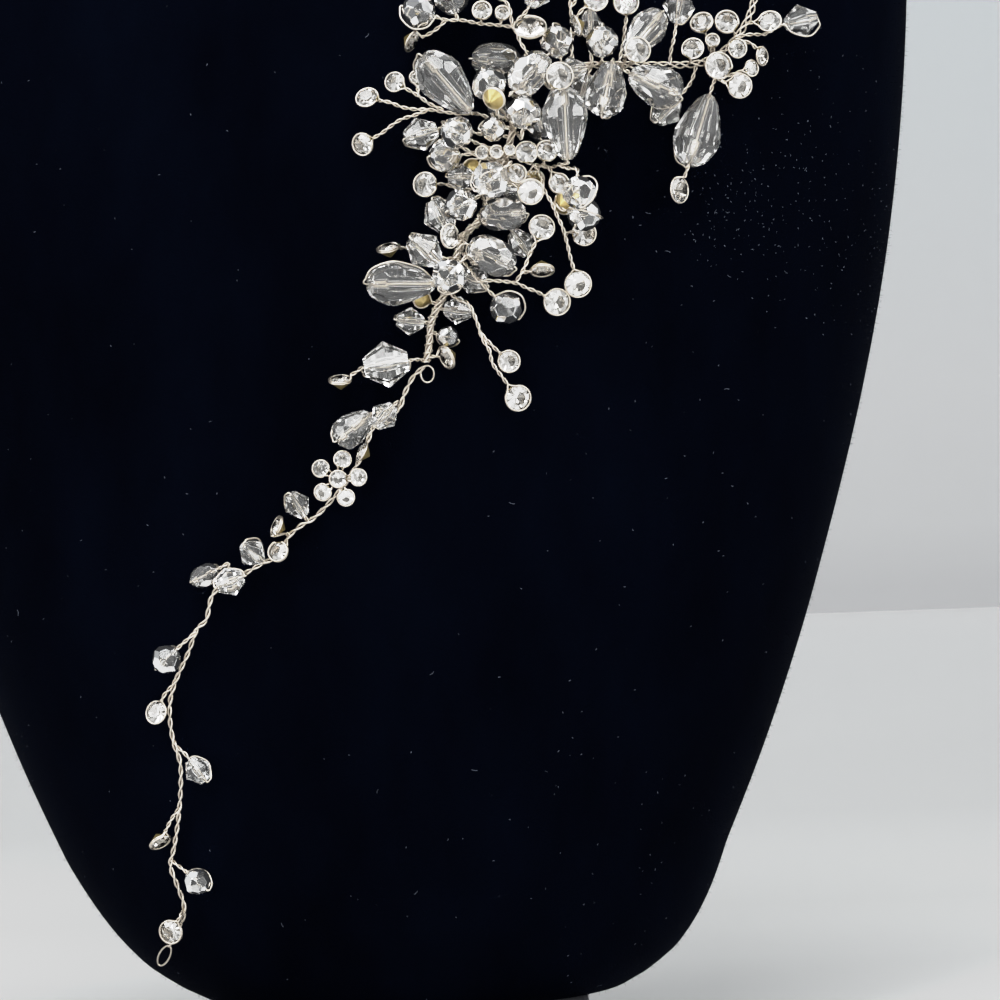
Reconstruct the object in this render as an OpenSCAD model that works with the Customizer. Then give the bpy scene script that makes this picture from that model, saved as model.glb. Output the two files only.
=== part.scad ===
// Hair vine of cut glass beads and foil-backed stones on twisted silver wire, laid over a plain
// velvet neck bust. Millimetres, Z up. The origin is the middle of the bust's foot, on the table.
// X runs to the wearer's left (the viewer's right) and the bust's chest faces -Y.

/* [Bust] */
// Height of the padded form above its foot
form_h = 270; // [240:1:300]
// Width of the form across the shoulders
form_w = 194; // [180:1:210]
// Depth of the form from chest to back
form_d = 90; // [80:1:100]
// How square the form is in plan, 2 is an ellipse
form_square = 2.3; // [2:0.05:2.8]
// Width of the foot
base_w = 66; // [60:1:72]
// Depth of the foot
base_d = 76; // [66:1:84]
// Height of the foot
base_h = 14; // [10:1:24]
// Corner radius of the foot
base_corner = 6; // [3:0.5:10]

/* [Wire] */
// Radius of the twisted stem
stem_r = 0.42; // [0.36:0.01:0.46]
// Radius of a twisted stalk
stalk_r = 0.36; // [0.3:0.01:0.4]
// Radius of the plain wire in the end eyes
eye_wire_r = 0.25; // [0.2:0.01:0.35]
// Half the length of the eye at each free end
eye_h = 2.0; // [1.5:0.1:2.6]
// Half the width of the eye at each free end
eye_w = 0.9; // [0.8:0.1:1.4]

/* [Beads and stones] */
// Diameter of a double cone bead
bicone_d = 5; // [4.6:0.1:5.2]
// Diameter of a round bead
round_d = 6; // [5.5:0.1:6.2]
// Diameter of a long barrel bead
barrel_d = 6.2; // [5.7:0.1:6.4]
// Diameter of a long drop
drop_d = 7.5; // [7:0.1:7.8]
// Diameter of a short pear
pear_d = 6.5; // [6:0.1:6.8]
// Diameter of a foil-backed stone
stone_d = 4.2; // [3.8:0.1:4.4]
// Radius of the hole through a bead
bore_r = 0.6; // [0.55:0.01:0.7]
// Gap kept between pieces
gap = 0.3; // [0.2:0.05:0.4]

/* [Place on the bust] */
// Height of the vine's zero line above the foot's top
vine_up = 5.5; // [2:0.5:8]
// Distance of the vine's zero line to the right of the middle
vine_side = 2.5; // [0:0.5:5]
// Clockwise lean of the whole vine
vine_lean = 2; // [0:0.5:4]

/* [Hidden] */

// The form's sections: height, half width, front and back depth as shares of its named sizes
HEIGHT = 0;
WIDE = 1;
FRONT = 2;
BACK = 3;
FORM = [
    [0.000, 0.402, 0.38, 0.33],
    [0.008, 0.444, 0.40, 0.35],
    [0.024, 0.502, 0.43, 0.37],
    [0.054, 0.564, 0.47, 0.38],
    [0.100, 0.627, 0.50, 0.39],
    [0.170, 0.708, 0.53, 0.40],
    [0.260, 0.795, 0.56, 0.40],
    [0.380, 0.888, 0.57, 0.40],
    [0.515, 0.960, 0.57, 0.40],
    [0.640, 0.996, 0.54, 0.38],
    [0.700, 0.990, 0.50, 0.37],
    [0.755, 0.930, 0.45, 0.35],
    [0.800, 0.790, 0.40, 0.33],
    [0.835, 0.620, 0.36, 0.31],
    [0.870, 0.480, 0.33, 0.30],
    [0.915, 0.410, 0.31, 0.29],
    [0.975, 0.385, 0.30, 0.28],
    [0.992, 0.365, 0.28, 0.26],
    [1.000, 0.310, 0.23, 0.21]];
form_sides = 24;
// Share of the form's half width up to which its front is followed
form_edge = 0.98;

stem_sides = 5;
stalk_sides = 5;
eye_points = 8;
bicone_sides = 8;
bead_sides = 10;
stone_sides = 8;

// Lengths of the beads as shares of their diameters
bicone_length = 0.95;
round_length = 0.9;
barrel_length = 1.3;
drop_length = 1.55;
pear_length = 1.25;

// Cut of a stone as shares of its radius
table_share = 0.6;
crown_share = 0.32;
point_share = 0.85;

// Kinds of piece at the end of a stalk; a twig is a stalk that others grow from
TWIG = 0;
BICONE = 1;
ROUND = 2;
BARREL = 3;
DROP = 4;
PEAR = 5;
STONE = 6;
FOIL = 7;

// A spray is [kind, size as a share of its kind's, rise off the velvet, stalk from its root as
// [x, z, lift] points, place of the piece as [x, z], turn and lean of a stone's face].
KIND = 0;
SHARE = 1;
RISE = 2;
STALK = 3;
PLACE = 4;
TURN = 5;
LEAN = 6;

// Route of the tail's stem down from the knot, as [x, z, lift]
TAIL_STEM = [
    [5.5, 104.3, 1.6], [3.5, 102.5, 1.6], [2, 99.5, 1.6], [1, 97, 1.6], [-2.5, 95, 1.6],
    [-4, 92, 1.6], [-5.5, 88.5, 1.6], [-8, 84.5, 1.6], [-10.5, 81.5, 1.6], [-13, 79, 1.6],
    [-15.5, 77.5, 1.6], [-17.5, 75.5, 1.6], [-18.2, 73, 1.6], [-21.5, 71.5, 1.6],
    [-25, 69.5, 1.6], [-28, 68, 1.6], [-30, 66, 1.6], [-31, 62, 1.6], [-32.5, 60.5, 1.6],
    [-34, 56.5, 1.6], [-36, 52, 1.6], [-37, 48.5, 1.6], [-37, 45, 1.6], [-36.4, 41.5, 1.6],
    [-35.3, 38, 1.6], [-35.3, 33, 1.6], [-35.7, 28.5, 1.6], [-36.4, 24, 1.6],
    [-37, 21, 1.6], [-36, 18, 1.6], [-34.8, 14.5, 1.6], [-35, 12, 1.6], [-36.5, 9.2, 1.6],
    [-37.3, 7.3, 1.6]];

// Route of the cluster's stem up from the knot, then along to the right and over the shoulder
VINE_STEM = [
    [5.7, 105, 1.6], [6.2, 108, 2], [6.5, 111.5, 2.2], [7.5, 114, 2.4], [9, 117, 2.6],
    [10.5, 122, 2.8], [12.5, 126.5, 3], [14.5, 128.5, 3.2], [16, 131.5, 3.2],
    [17.5, 135, 3.2], [19, 139, 3.2], [20, 143, 3.2], [21.5, 147.5, 3.2], [24, 151, 3.2],
    [28, 153.5, 3.2], [33, 154.5, 3.2], [38, 154.5, 3.2], [43, 154.5, 3.2],
    [47.5, 154.5, 3], [52, 155, 3], [56, 157.5, 3], [59, 161.5, 3], [60.5, 166, 3],
    [61, 172, 2.5], [60, 180, 2], [57, 188, 1.6], [52, 194, 1.6]];

// A rounder eye is left in the wire at the knot: its place, half width and half height
KNOT_EYE = [5.9, 104.4, 1.6];
KNOT_EYE_SIZE = [1.1, 1.4];

// How far each end eye leans to the left of straight down
tail_eye_turn = 28;
vine_eye_turn = 140;

TAIL_SPRAYS = [
    [BICONE, 0.96, 2.6, [[1, 97, 1.6], [0.9, 98.4, 4.6]], [-1.3, 96]],
    [PEAR, 0.88, 0, [[-1.4, 96, 1.6], [-3.3, 96.4, 2.6]], [-6.4, 94]],
    [FOIL, 0.9, 2.4, [[-4.4, 91.2, 1.6]], [-5.1, 90], 150, 75],
    [BICONE, 0.92, 0, [[-14, 78.4, 1.6]], [-15.8, 81.2]],
    [FOIL, 0.9, 0, [[-17, 76, 1.6]], [-19.2, 77.6], 155, 70],
    [STONE, 0.86, 2.2, [[-18, 74.5, 1.6]], [-19, 73.4], 140, 25],
    [BICONE, 0.96, 1.2, [[-21.3, 71.6, 1.6]], [-23.3, 73.2]],
    [BICONE, 1, 2.4, [[-24.4, 69.8, 1.6], [-24.6, 69.4, 4.6]], [-27, 68.4]],
    [BARREL, 0.62, 0, [[-28, 68, 1.6], [-27.2, 71.4, 2.4]], [-31.2, 69.4]],
    [ROUND, 0.87, 0, [[-32.7, 60, 1.6], [-35, 58, 2.6]], [-37.6, 55.4]],
    [STONE, 0.98, 0, [[-35.9, 52.3, 1.6], [-37.9, 49.6, 2.2]], [-39.4, 46.6], 150, 30],
    [BICONE, 0.94, 0, [[-36.5, 42, 1.6], [-34.6, 39.8, 2.6]], [-32.4, 36.9]],
    [FOIL, 0.95, 0, [[-35.5, 30.6, 1.6], [-37.4, 27.6, 2.2]], [-38.7, 24.9], 300, 62],
    [ROUND, 0.8, 0, [[-36.8, 21.8, 1.6], [-34.9, 20.4, 2.4]], [-32.5, 18.3]],
    [STONE, 1.02, 2.2, [[-34.9, 13.4, 1.6], [-35.4, 12.4, 3.8]], [-37, 9.8], 200, 20]];

// The small flower lies on the tail: petals evenly round a middle stone
FLOWER_PLACE = [-9, 85.5];
flower_petals = 5;
flower_turn = 5;
flower_share = 0.73;
flower_rise = 2.2;

LOW_SPRAYS = [
    [BICONE, 1.56, 0, [[5.5, 105.2, 1.8], [3.9, 105.4, 4]], [-1, 104.6]],
    [FOIL, 0.95, 0.6, [[-4.9, 104.2, 4.2], [-6.2, 103.2, 3.4]], [-8.6, 102], 90, 70],
    [FOIL, 1, 0.6, [[5.9, 106, 1.8]], [9.1, 105.8], 205, 62],
    [ROUND, 0.64, 0, [[6.5, 110, 2.1]], [9.3, 109.2]],
    [BICONE, 0.96, 0, [[6.5, 111.5, 2.2]], [3, 111.8]],
    [BICONE, 0.97, 0, [[7.5, 114, 2.4]], [11, 113.6]],
    [STONE, 1.07, 2.5, [[9, 117, 2.6], [12.8, 114.6, 6.2], [15, 109, 6.2], [17.6, 103.5, 6]],
        [21, 99], 330, 14],
    [STONE, 0.92, 3, [[14.6, 110, 6.2], [17, 107.4, 6.2]], [19.5, 105.1], 20, 10],
    [FOIL, 0.75, 0, [[7.8, 114.6, 2.4]], [5, 115.4], 120, 150],
    [DROP, 0.97, 3, [[9.1, 117.7, 2.65], [8.4, 118, 5.8]], [1.5, 118]],
    [ROUND, 1, 6.2, [[11.3, 123.8, 2.9], [12.3, 122.6, 8]], [9.5, 119.4]],
    [BICONE, 1.26, 3.3, [[10.2, 121.2, 2.8], [8.6, 120.9, 5.4]], [5.4, 123.6]],
    [FOIL, 0.95, 0.5, [[10.6, 122.2, 2.8], [6, 122.6, 1.2], [2.5, 124, 1.2]],
        [-0.6, 124], 100, 70],
    [BICONE, 1.04, 0, [[10, 120.3, 2.7]], [13.6, 118.8]],
    [STONE, 1, 7.5, [[12, 125.5, 3]], [9.7, 126], 0, 45],
    [ROUND, 0.97, 1.5, [[13.9, 119.2, 6], [16, 117, 6]], [19, 114]],
    [STONE, 1.1, 1.5, [[11, 122.4, 2.8], [14.4, 118.6, 6.6], [19, 118.4, 7], [22.5, 117.3, 6]],
        [27.5, 115], 340, 12],
    [STONE, 1.05, 4, [[20.5, 118.2, 6.8], [22.2, 121, 7], [24, 125, 7]], [25, 127.5], 60, 16],
    [FOIL, 1, 3, [[21.6, 119.9, 7]], [25, 120.3], 270, 65],
    [STONE, 1.1, 2, [[24, 138, 3.4], [26.6, 131.5, 5.4], [28.4, 127.5, 6.6], [29.7, 122.5, 6]],
        [31, 118], 300, 12],
    [BARREL, 1.03, 4.2, [[12.8, 127, 3], [12.1, 124.9, 7.4]], [16.6, 122.7]],
    [BICONE, 0.96, 0, [[15.9, 131.3, 3.2], [19.4, 127.6, 2.8]], [21.4, 124.8]],
    [FOIL, 0.9, 2, [[26.7, 131.4, 5.4]], [28.6, 131.4], 30, 150],
    [STONE, 1, 0.3, [[28.7, 126.2, 6.4]], [32, 126.4], 0, 10]];

MID_SPRAYS = [
    [BARREL, 0.93, 4, [[15.5, 130.5, 3.2], [14.4, 129.4, 7]], [18.5, 129.6]],
    [ROUND, 0.95, 5.4, [[15.8, 131.2, 3.2], [15, 132.8, 7.4]], [11.5, 131.2]],
    [BICONE, 1.2, 0, [[12.6, 126.6, 3], [9.8, 125.8, 3]], [8, 129.4]],
    [STONE, 1, 1, [[17.3, 134.5, 3.2], [13, 133.8, 1.4], [9, 134.6, 1.6]], [5.5, 134.6], 180, 14],
    [BICONE, 0.92, 2, [[17.7, 135.6, 3.2], [15, 135.8, 4.6]], [11.5, 135.8]],
    [ROUND, 0.93, 3, [[18.7, 138.2, 3.2], [13.4, 139.6, 5.4]], [8.8, 139.4]],
    [FOIL, 0.8, 0, [[15.8, 138.9, 2.5], [11, 141, 1.4]], [8.2, 140.6], 135, 150],
    [FOIL, 0.8, 0, [[18.8, 138.6, 3.2], [15, 139, 2.2]], [13.2, 137.4], 315, 150],
    [ROUND, 0.97, 6.6, [[19, 139.6, 3.2], [13.8, 141.6, 7]], [10.8, 143.2]],
    [BICONE, 1.16, 0, [[19.8, 142.4, 3.2], [14.6, 143, 2.4], [9.4, 144.4, 3]], [4.8, 143]],
    [ROUND, 1.1, 6, [[19, 138.8, 3.2], [19.8, 138.2, 8.4]], [16.5, 135.4]],
    [STONE, 0.8, 3, [[18.2, 136.8, 3.2]], [20.8, 136.4], 0, 12],
    [ROUND, 0.77, 0, [[17, 133.6, 3.2]], [20.6, 133]],
    [STONE, 0.57, 6, [[18.9, 139.2, 3.2]], [15, 139.9], 180, 10],
    [STONE, 0.57, 6, [[19.1, 139.6, 3.2]], [17.4, 140], 90, 10],
    [STONE, 0.5, 6, [[19.2, 140, 3.2]], [19.6, 140.4], 60, 10],
    [ROUND, 0.73, 4.4, [[20.2, 144, 3.2], [19.6, 144, 6.8]], [16.8, 143.8]],
    [TWIG, 1, 0, [[19.2, 139.4, 3.2], [22.5, 138.3, 3], [26.5, 137.5, 4]], [29.4, 138.2, 7.5]],
    [STONE, 0.93, 4, [[22.5, 138.3, 3]], [22.4, 140], 100, 12],
    [STONE, 0.88, 4, [[25, 137.8, 3.7]], [25.8, 140.2], 60, 14],
    [STONE, 0.85, 0.6, [[23.5, 138.1, 3.2]], [23.7, 135.4], 270, 12],
    [STONE, 1.05, 4.8, [[16.9, 133.4, 3.2], [20, 134.6, 6]], [23.1, 133.4], 300, 12],
    [STONE, 0.85, 2, [[26, 137.6, 3.8]], [27.8, 134.8], 30, 12],
    [ROUND, 1, 8.6, [[28, 137.8, 5.8], [30.8, 137.2, 9.6]], [31.2, 133.2]],
    [ROUND, 1, 4, [[26.7, 131.6, 5.4], [28.4, 130.4, 6.6]], [32, 129.6]],
    [DROP, 1.02, 4, [[29.3, 138, 7.4]], [28.9, 144.7]],
    [BARREL, 0.7, 0.6, [[25.5, 137.7, 3.8], [25.4, 140.6, 2.4]], [24.4, 144.6]],
    [ROUND, 1, 4.8, [[20.3, 143.6, 3.2], [21.6, 142.2, 7.6]], [21.9, 146.6]],
    [ROUND, 0.7, 0, [[20.7, 145.2, 3.2]], [17.8, 147]],
    [FOIL, 0.95, 9.2, [[20.6, 144.8, 3.2], [17.7, 146, 9.4]], [17, 148.9], 45, 140],
    [STONE, 0.93, 1.5, [[6, 147, 3.9], [1.5, 145.4, 4], [-1.6, 143.2, 4]], [-4.9, 141.3], 200, 30],
    [STONE, 0.95, 2, [[20.2, 143.8, 3.2], [14, 146.4, 3.6], [8, 146.8, 3.8], [1.5, 147.5, 4]],
        [-4.2, 149.2], 110, 35],
    [STONE, 0.83, 1.5, [[8.6, 147, 3.8], [4.5, 149.3, 3.4], [2.6, 150.4, 3.6]],
        [0.4, 151.7], 150, 16],
    [STONE, 0.57, 1.5, [[4.5, 149.3, 3.4]], [4, 152.4], 60, 12],
    [DROP, 1.04, 3, [[14, 146.4, 3.6], [13.4, 146.4, 5.8]], [9, 151.4]]];

TOP_SPRAYS = [
    [ROUND, 1, 1.2, [[24, 151, 3.2], [23.6, 155, 5], [20.3, 160.6, 4.4], [14.5, 161.4, 4.4],
        [9, 162, 4.4]], [4.4, 163.5]],
    [FOIL, 0.95, 0.5, [[9, 162, 4.4], [6, 159.6, 3.2]], [3.4, 158.4], 330, 70],
    [ROUND, 1.08, 1.5, [[11, 161.8, 4.5]], [9.9, 166]],
    [STONE, 0.8, 4.5, [[14.8, 161.4, 4.4]], [15, 163.6], 100, 16],
    [STONE, 0.62, 4.5, [[18, 160.9, 4.4]], [18.4, 163.2], 80, 14],
    [FOIL, 0.95, 1.5, [[20, 160.7, 4.4], [19.6, 164, 4]], [17.6, 167], 200, 110],
    [STONE, 1.33, 6, [[20.3, 160.6, 4.4]], [23, 160.8], 90, 45],
    [BICONE, 1, 1.2, [[20.3, 160.6, 4.4], [22.2, 163.2, 3.6]], [24.2, 166.4]],
    [BARREL, 1, 0, [[23.8, 153.6, 4.4], [22.4, 154.8, 3.8]], [17.4, 155.2]],
    [ROUND, 1.03, 4.6, [[20.2, 144.2, 3.2], [17.8, 147.6, 6]], [16.2, 151.1]],
    [BARREL, 1, 6.2, [[22.2, 148.6, 3.2], [19.6, 149.5, 9]], [23, 153.1]],
    [STONE, 1.1, 9.4, [[25.6, 152, 3.1], [26.4, 150.7, 9.2]], [28, 152.7], 0, 12],
    [ROUND, 0.97, 4, [[27, 152.9, 3.2], [28.2, 155, 6]], [27.4, 158.4]],
    [TWIG, 1, 0, [[30, 153.9, 3.2], [30, 160, 3.4]], [29.8, 167, 2.8]],
    [FOIL, 0.92, 4.6, [[30, 159, 3.3]], [30.6, 161], 200, 75],
    [BICONE, 0.96, 4.2, [[31.5, 154.2, 3.2], [32.3, 154, 6.4]], [30, 153.6]],
    [ROUND, 0.95, 4.2, [[34.6, 154.5, 3.2], [35, 155, 6.4]], [35, 158.4]],
    [STONE, 0.95, 3.6, [[30.1, 161.4, 3.4], [32, 164, 4.6]], [34, 165.4], 90, 14],
    [BICONE, 0.85, 0, [[33.4, 154.5, 3.2], [33, 157.6, 2.6]], [33, 161.4]],
    [BICONE, 0.9, 0, [[33.2, 154.5, 3.2]], [32, 150.6]],
    [PEAR, 1.1, 3.6, [[36.6, 154.5, 3.2], [36.8, 155.4, 6.8]], [35.8, 150.5]],
    [PEAR, 1.12, 4.2, [[38.4, 154.5, 3.2], [38.8, 153.6, 7.4]], [43.9, 151.2]],
    [DROP, 0.8, 3.6, [[38.6, 154.5, 3.2], [38.7, 156, 6.6]], [42, 159.8]],
    [STONE, 1.05, 2, [[37.8, 154.5, 3.2], [38.6, 158.5, 2.4], [39, 162, 3]], [39, 165], 0, 10],
    [STONE, 1.05, 9.4, [[39.6, 154.5, 3.2], [40, 155, 9]], [41, 157], 0, 12],
    [BICONE, 1.1, 0, [[50.8, 154.8, 3], [49.4, 151, 2.8]], [45.8, 146.9]],
    [BICONE, 1.1, 1, [[46.3, 154.5, 3], [47, 159, 3.8]], [47.8, 164.2]],
    [STONE, 0.95, 3, [[53.4, 155.8, 3], [52.6, 158.4, 4]], [51.6, 161.6], 120, 35],
    [STONE, 0.98, 3.5, [[57.3, 159.3, 3]], [55.8, 161.7], 90, 14],
    [STONE, 0.92, 4, [[49.6, 154.7, 3]], [50.1, 157.3], 120, 20],
    [STONE, 1.1, 4.6, [[52.8, 155.4, 3], [54.2, 153.8, 4]], [54.4, 154.4], 0, 8],
    [STONE, 0.6, 4.6, [[53.6, 156, 3]], [53.4, 158.6], 90, 12],
    [STONE, 0.8, 4.6, [[56.2, 157.7, 3]], [57.6, 157.3], 0, 12],
    [STONE, 0.8, 2.6, [[57, 158.8, 3], [60, 158, 3.6]], [61.8, 156], 0, 50],
    [TWIG, 1, 0, [[52, 155, 3], [54.2, 152.4, 3]], [55.4, 151.6, 3]],
    [STONE, 0.7, 2.6, [[54.4, 152.2, 3], [57.4, 153.2, 4]], [60, 154], 0, 30],
    [STONE, 1.02, 1.6, [[54.8, 151.8, 3]], [58, 151], 300, 12],
    [DROP, 1.07, 0.4, [[54, 152.6, 3], [53.4, 151, 4]], [51.2, 143.7]],
    [STONE, 1.1, 1, [[49.45, 137.9, 5.35]], [48, 133.7], 0, 46],
    [STONE, 1, 3, [[59, 161.5, 3]], [62.9, 161.9], 110, 30],
    [BICONE, 1.16, 1.2, [[57.4, 159.2, 3], [61.6, 159.6, 3.6], [64.4, 161, 3.8]],
        [68.2, 161.9]]];

END_SPRAYS = [
    [BICONE, 1, 0.4, [[60.7, 168.5, 2.8]], [56, 169.8]],
    [STONE, 1.05, 1, [[61, 171.5, 2.6]], [65.6, 170], 0, 12],
    [ROUND, 0.95, 0.3, [[60.8, 174, 2.35], [62.6, 176.2, 2.6]], [66, 177.6]],
    [STONE, 1, 0.8, [[60.5, 175.7, 2.3]], [56.4, 176.4], 180, 14],
    [BICONE, 0.96, 0.3, [[59.8, 181, 2], [61.4, 183, 2.4]], [64, 185.4]],
    [STONE, 0.95, 0.6, [[58.6, 183.6, 1.8]], [54.8, 183.4], 180, 12],
    [BICONE, 0.92, 0.3, [[57, 188, 1.6], [58.4, 190, 2.2]], [60.6, 192.2]],
    [STONE, 1, 0.4, [[57, 188, 1.6]], [52.4, 188.6], 180, 10],
    [ROUND, 1, 0.4, [[29.7, 166.6, 2.9]], [29.8, 173.4]],
    [STONE, 1, 1, [[29.9, 165.5, 3]], [25.2, 171.4], 150, 12],
    [STONE, 1, 1, [[29.9, 164.2, 3]], [34.4, 170.8], 30, 12]];

// Shortest length that still gives a direction
unit_min = 0.001;

function unit(v) = v / max(norm(v), unit_min);
function total(list) = [for (i = 0, sum = 0; i < len(list); sum = sum + list[i], i = i + 1) sum];

// One column of the form's table, followed as a smooth curve through its rows
function form_row(share) = max([for (i = [0:len(FORM) - 2]) if (FORM[i][HEIGHT] <= share) i]);
function form_slope(col, i) = let (lo = max(i - 1, 0), hi = min(i + 1, len(FORM) - 1))
    (FORM[hi][col] - FORM[lo][col]) / (FORM[hi][HEIGHT] - FORM[lo][HEIGHT]);
function form_at(col, share) = let (
        i = form_row(share),
        span = FORM[i + 1][HEIGHT] - FORM[i][HEIGHT],
        t = (share - FORM[i][HEIGHT]) / span)
    (2 * t ^ 3 - 3 * t ^ 2 + 1) * FORM[i][col] + (3 * t ^ 2 - 2 * t ^ 3) * FORM[i + 1][col]
    + span * (t ^ 3 - 2 * t ^ 2 + t) * form_slope(col, i)
    + span * (t ^ 3 - t ^ 2) * form_slope(col, i + 1);

// Front of the form at a place on it, z being the height above the foot
function chest_y(x, z) = let (
        share = min(max(z / form_h, 0), 1),
        across = min(abs(x) / (form_w / 2 * form_at(WIDE, share)), form_edge))
    -form_d * form_at(FRONT, share) * (1 - across ^ form_square) ^ (1 / form_square);

// The vine's places are read flat, from read_from in front of a plane read_plane before the
// middle of the bust and read_down degrees from above. What lies deeper reads nearer to the
// middle of that view, so it is spread out again.
READ_MIDDLE = [18, 82];
read_from = 600;
read_plane = 50;
read_down = 1.5;

// A [x, z, lift] point of the vine in space, after the whole vine's lean
function on_bust(p) = let (
        dx = p[0] - READ_MIDDLE[0],
        dz = p[1] - READ_MIDDLE[1],
        across = dx * cos(vine_lean) + dz * sin(vine_lean),
        up = dz * cos(vine_lean) - dx * sin(vine_lean),
        mid_x = vine_side + READ_MIDDLE[0],
        mid_z = vine_up + READ_MIDDLE[1],
        deep = chest_y(mid_x + across, mid_z + up) - p[2] + read_plane,
        spread = 1 + (deep - up * sin(read_down)) / read_from,
        x = mid_x + across * spread,
        z = mid_z + (up * spread - deep * sin(read_down)) / cos(read_down))
    [x, chest_y(x, z) - p[2], base_h + z];

// A shell is [points, faces]. Many shells go into one polyhedron, each a loose solid.
module shells(list) {
    start = total([for (s = list) len(s[0])]);
    polyhedron(
        points = [for (s = list) each s[0]],
        faces = [for (i = [0:len(list) - 1]) for (f = list[i][1]) [for (v = f) v + start[i]]]);
}

// Directions square to a tube's route at each point, carried along without a twist
function tangent(route, i) = unit(route[min(i + 1, len(route) - 1)] - route[max(i - 1, 0)]);
function square_to(v, t) = unit(v - t * (v * t));
function first_side(t) = square_to(abs(t[1]) > 0.9 ? [1, 0, 0] : [0, 1, 0], t);
function sides_along(route) = [
    for (i = 0, t = tangent(route, 0), u = first_side(t);
        i < len(route);
        i = i + 1, t = tangent(route, min(i, len(route) - 1)), u = square_to(u, t)) u];

// A tube round a route, with flat ends
function tube(route, r, sides) = let (
        side = sides_along(route),
        last = len(route) - 1)
    [[for (i = [0:last]) let (t = tangent(route, i), u = side[i], v = cross(t, u))
        for (k = [0:sides - 1]) route[i] + r * (cos(k * 360 / sides) * u
            + sin(k * 360 / sides) * v)],
     concat([[for (k = [0:sides - 1]) k]],
        [for (i = [0:last - 1]) for (k = [0:sides - 1]) let (n = (k + 1) % sides)
            [i * sides + k, (i + 1) * sides + k, (i + 1) * sides + n, i * sides + n]],
        [[for (k = [sides - 1:-1:0]) last * sides + k]])];

// A closed loop of wire
function hoop(route, r, sides) = let (count = len(route))
    [[for (i = [0:count - 1]) let (
            t = unit(route[(i + 1) % count] - route[(i + count - 1) % count]),
            u = first_side(t),
            v = cross(t, u))
        for (k = [0:sides - 1]) route[i] + r * (cos(k * 360 / sides) * u
            + sin(k * 360 / sides) * v)],
     [for (i = [0:count - 1]) for (k = [0:sides - 1]) let (n = (k + 1) % sides,
            j = (i + 1) % count)
        [i * sides + k, j * sides + k, j * sides + n, i * sides + n]]];

// A drilled bead: its outline of [radius, height] shares goes round the axis and back
// through the hole
function bead(centre, axis, d, length, outline, sides) = let (
        u = first_side(axis),
        v = cross(axis, u),
        ring = [for (p = outline) [p[0] < 0 ? bore_r : max(p[0] * d / 2, bore_r), p[1] * length / 2]],
        count = len(ring))
    [[for (p = ring) for (k = [0:sides - 1]) centre + p[1] * axis
        + p[0] * (cos(k * 360 / sides) * u + sin(k * 360 / sides) * v)],
     [for (i = [0:count - 1]) for (k = [0:sides - 1]) let (n = (k + 1) % sides,
            j = (i + 1) % count)
        [i * sides + k, j * sides + k, j * sides + n, i * sides + n]]];

// Outlines from the near hole to the far one; a radius of -1 is the hole's own
BICONE_OUTLINE = [[-1, -1], [0.42, -1], [1, 0], [0.42, 1], [-1, 1]];
ROUND_OUTLINE = [[-1, -1], [0.76, -0.66], [1, 0], [0.76, 0.66], [-1, 1]];
BARREL_OUTLINE = [[-1, -1], [0.88, -0.5], [0.88, 0.5], [-1, 1]];
DROP_OUTLINE = [[-1, -1], [0.34, -1], [0.76, -0.34], [1, 0.24], [0.9, 0.62], [0.56, 0.92], [-1, 1]];
PEAR_OUTLINE = [[-1, -1], [0.4, -1], [0.84, -0.3], [1, 0.3], [0.7, 0.84], [-1, 1]];

function diameter(s) = s[SHARE] * [0, bicone_d, round_d, barrel_d, drop_d, pear_d, stone_d,
    stone_d][s[KIND]];
function length_share(s) = [0, bicone_length, round_length, barrel_length, drop_length,
    pear_length, 0, 0][s[KIND]];
function outline(s) = [[], BICONE_OUTLINE, ROUND_OUTLINE, BARREL_OUTLINE, DROP_OUTLINE,
    PEAR_OUTLINE][s[KIND]];
function is_stone(s) = s[KIND] >= STONE;
function sides_of(s) = s[KIND] == BICONE ? bicone_sides : bead_sides;

// Middle of a spray's piece and the direction in which its stalk comes in
function centre_of(s) = on_bust([s[PLACE][0], s[PLACE][1], s[RISE] + gap + diameter(s) / 2]);
function stalk_points(s) = [for (p = s[STALK]) on_bust(p)];
function axis_of(s) = let (points = stalk_points(s)) unit(centre_of(s) - points[len(points) - 1]);

// A stone's face is turned and leaned from the viewer
function face_of(turn, lean) = [cos(turn) * sin(lean), -cos(lean), sin(turn) * sin(lean)];

// How far a stone reaches from its middle towards its stalk, which comes in along a
function stone_reach(s, a) = let (
        r = diameter(s) / 2,
        up = -a * face_of(s[TURN], s[LEAN]),
        side = sqrt(1 - min(up ^ 2, 1)))
    up < 0
        ? r / (side - up / point_share)
        : min(r * crown_share / max(up, unit_min),
            r / (side + up * (1 - table_share) / crown_share));

// A stalk ends past the far hole of its bead, or just short of its stone
function stalk_route(s) = let (c = centre_of(s), a = axis_of(s), d = diameter(s))
    s[KIND] == TWIG ? concat(stalk_points(s), [on_bust(s[PLACE])])
    : is_stone(s) ? concat(stalk_points(s), [c - a * (stone_reach(s, a) + stalk_r + gap)])
    : concat(stalk_points(s), [c + a * (d * length_share(s) / 2 + gap)]);

// A pointed stone: its table, girdle and point
function stone(centre, face, d) = let (
        n = stone_sides,
        u = first_side(face),
        v = cross(face, u),
        r = d / 2)
    [concat(
        [for (k = [0:n - 1]) let (a = (k + 0.5) * 360 / n)
            centre + r * (crown_share * face + table_share * (cos(a) * u + sin(a) * v))],
        [for (k = [0:n - 1]) let (a = k * 360 / n) centre + r * (cos(a) * u + sin(a) * v)],
        [centre - r * point_share * face]),
     concat([[for (k = [n - 1:-1:0]) k]],
        [for (k = [0:n - 1]) [k, n + (k + 1) % n, n + k]],
        [for (k = [0:n - 1]) [k, (k + 1) % n, n + (k + 1) % n]],
        [for (k = [0:n - 1]) [n + k, n + (k + 1) % n, 2 * n]])];

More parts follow.
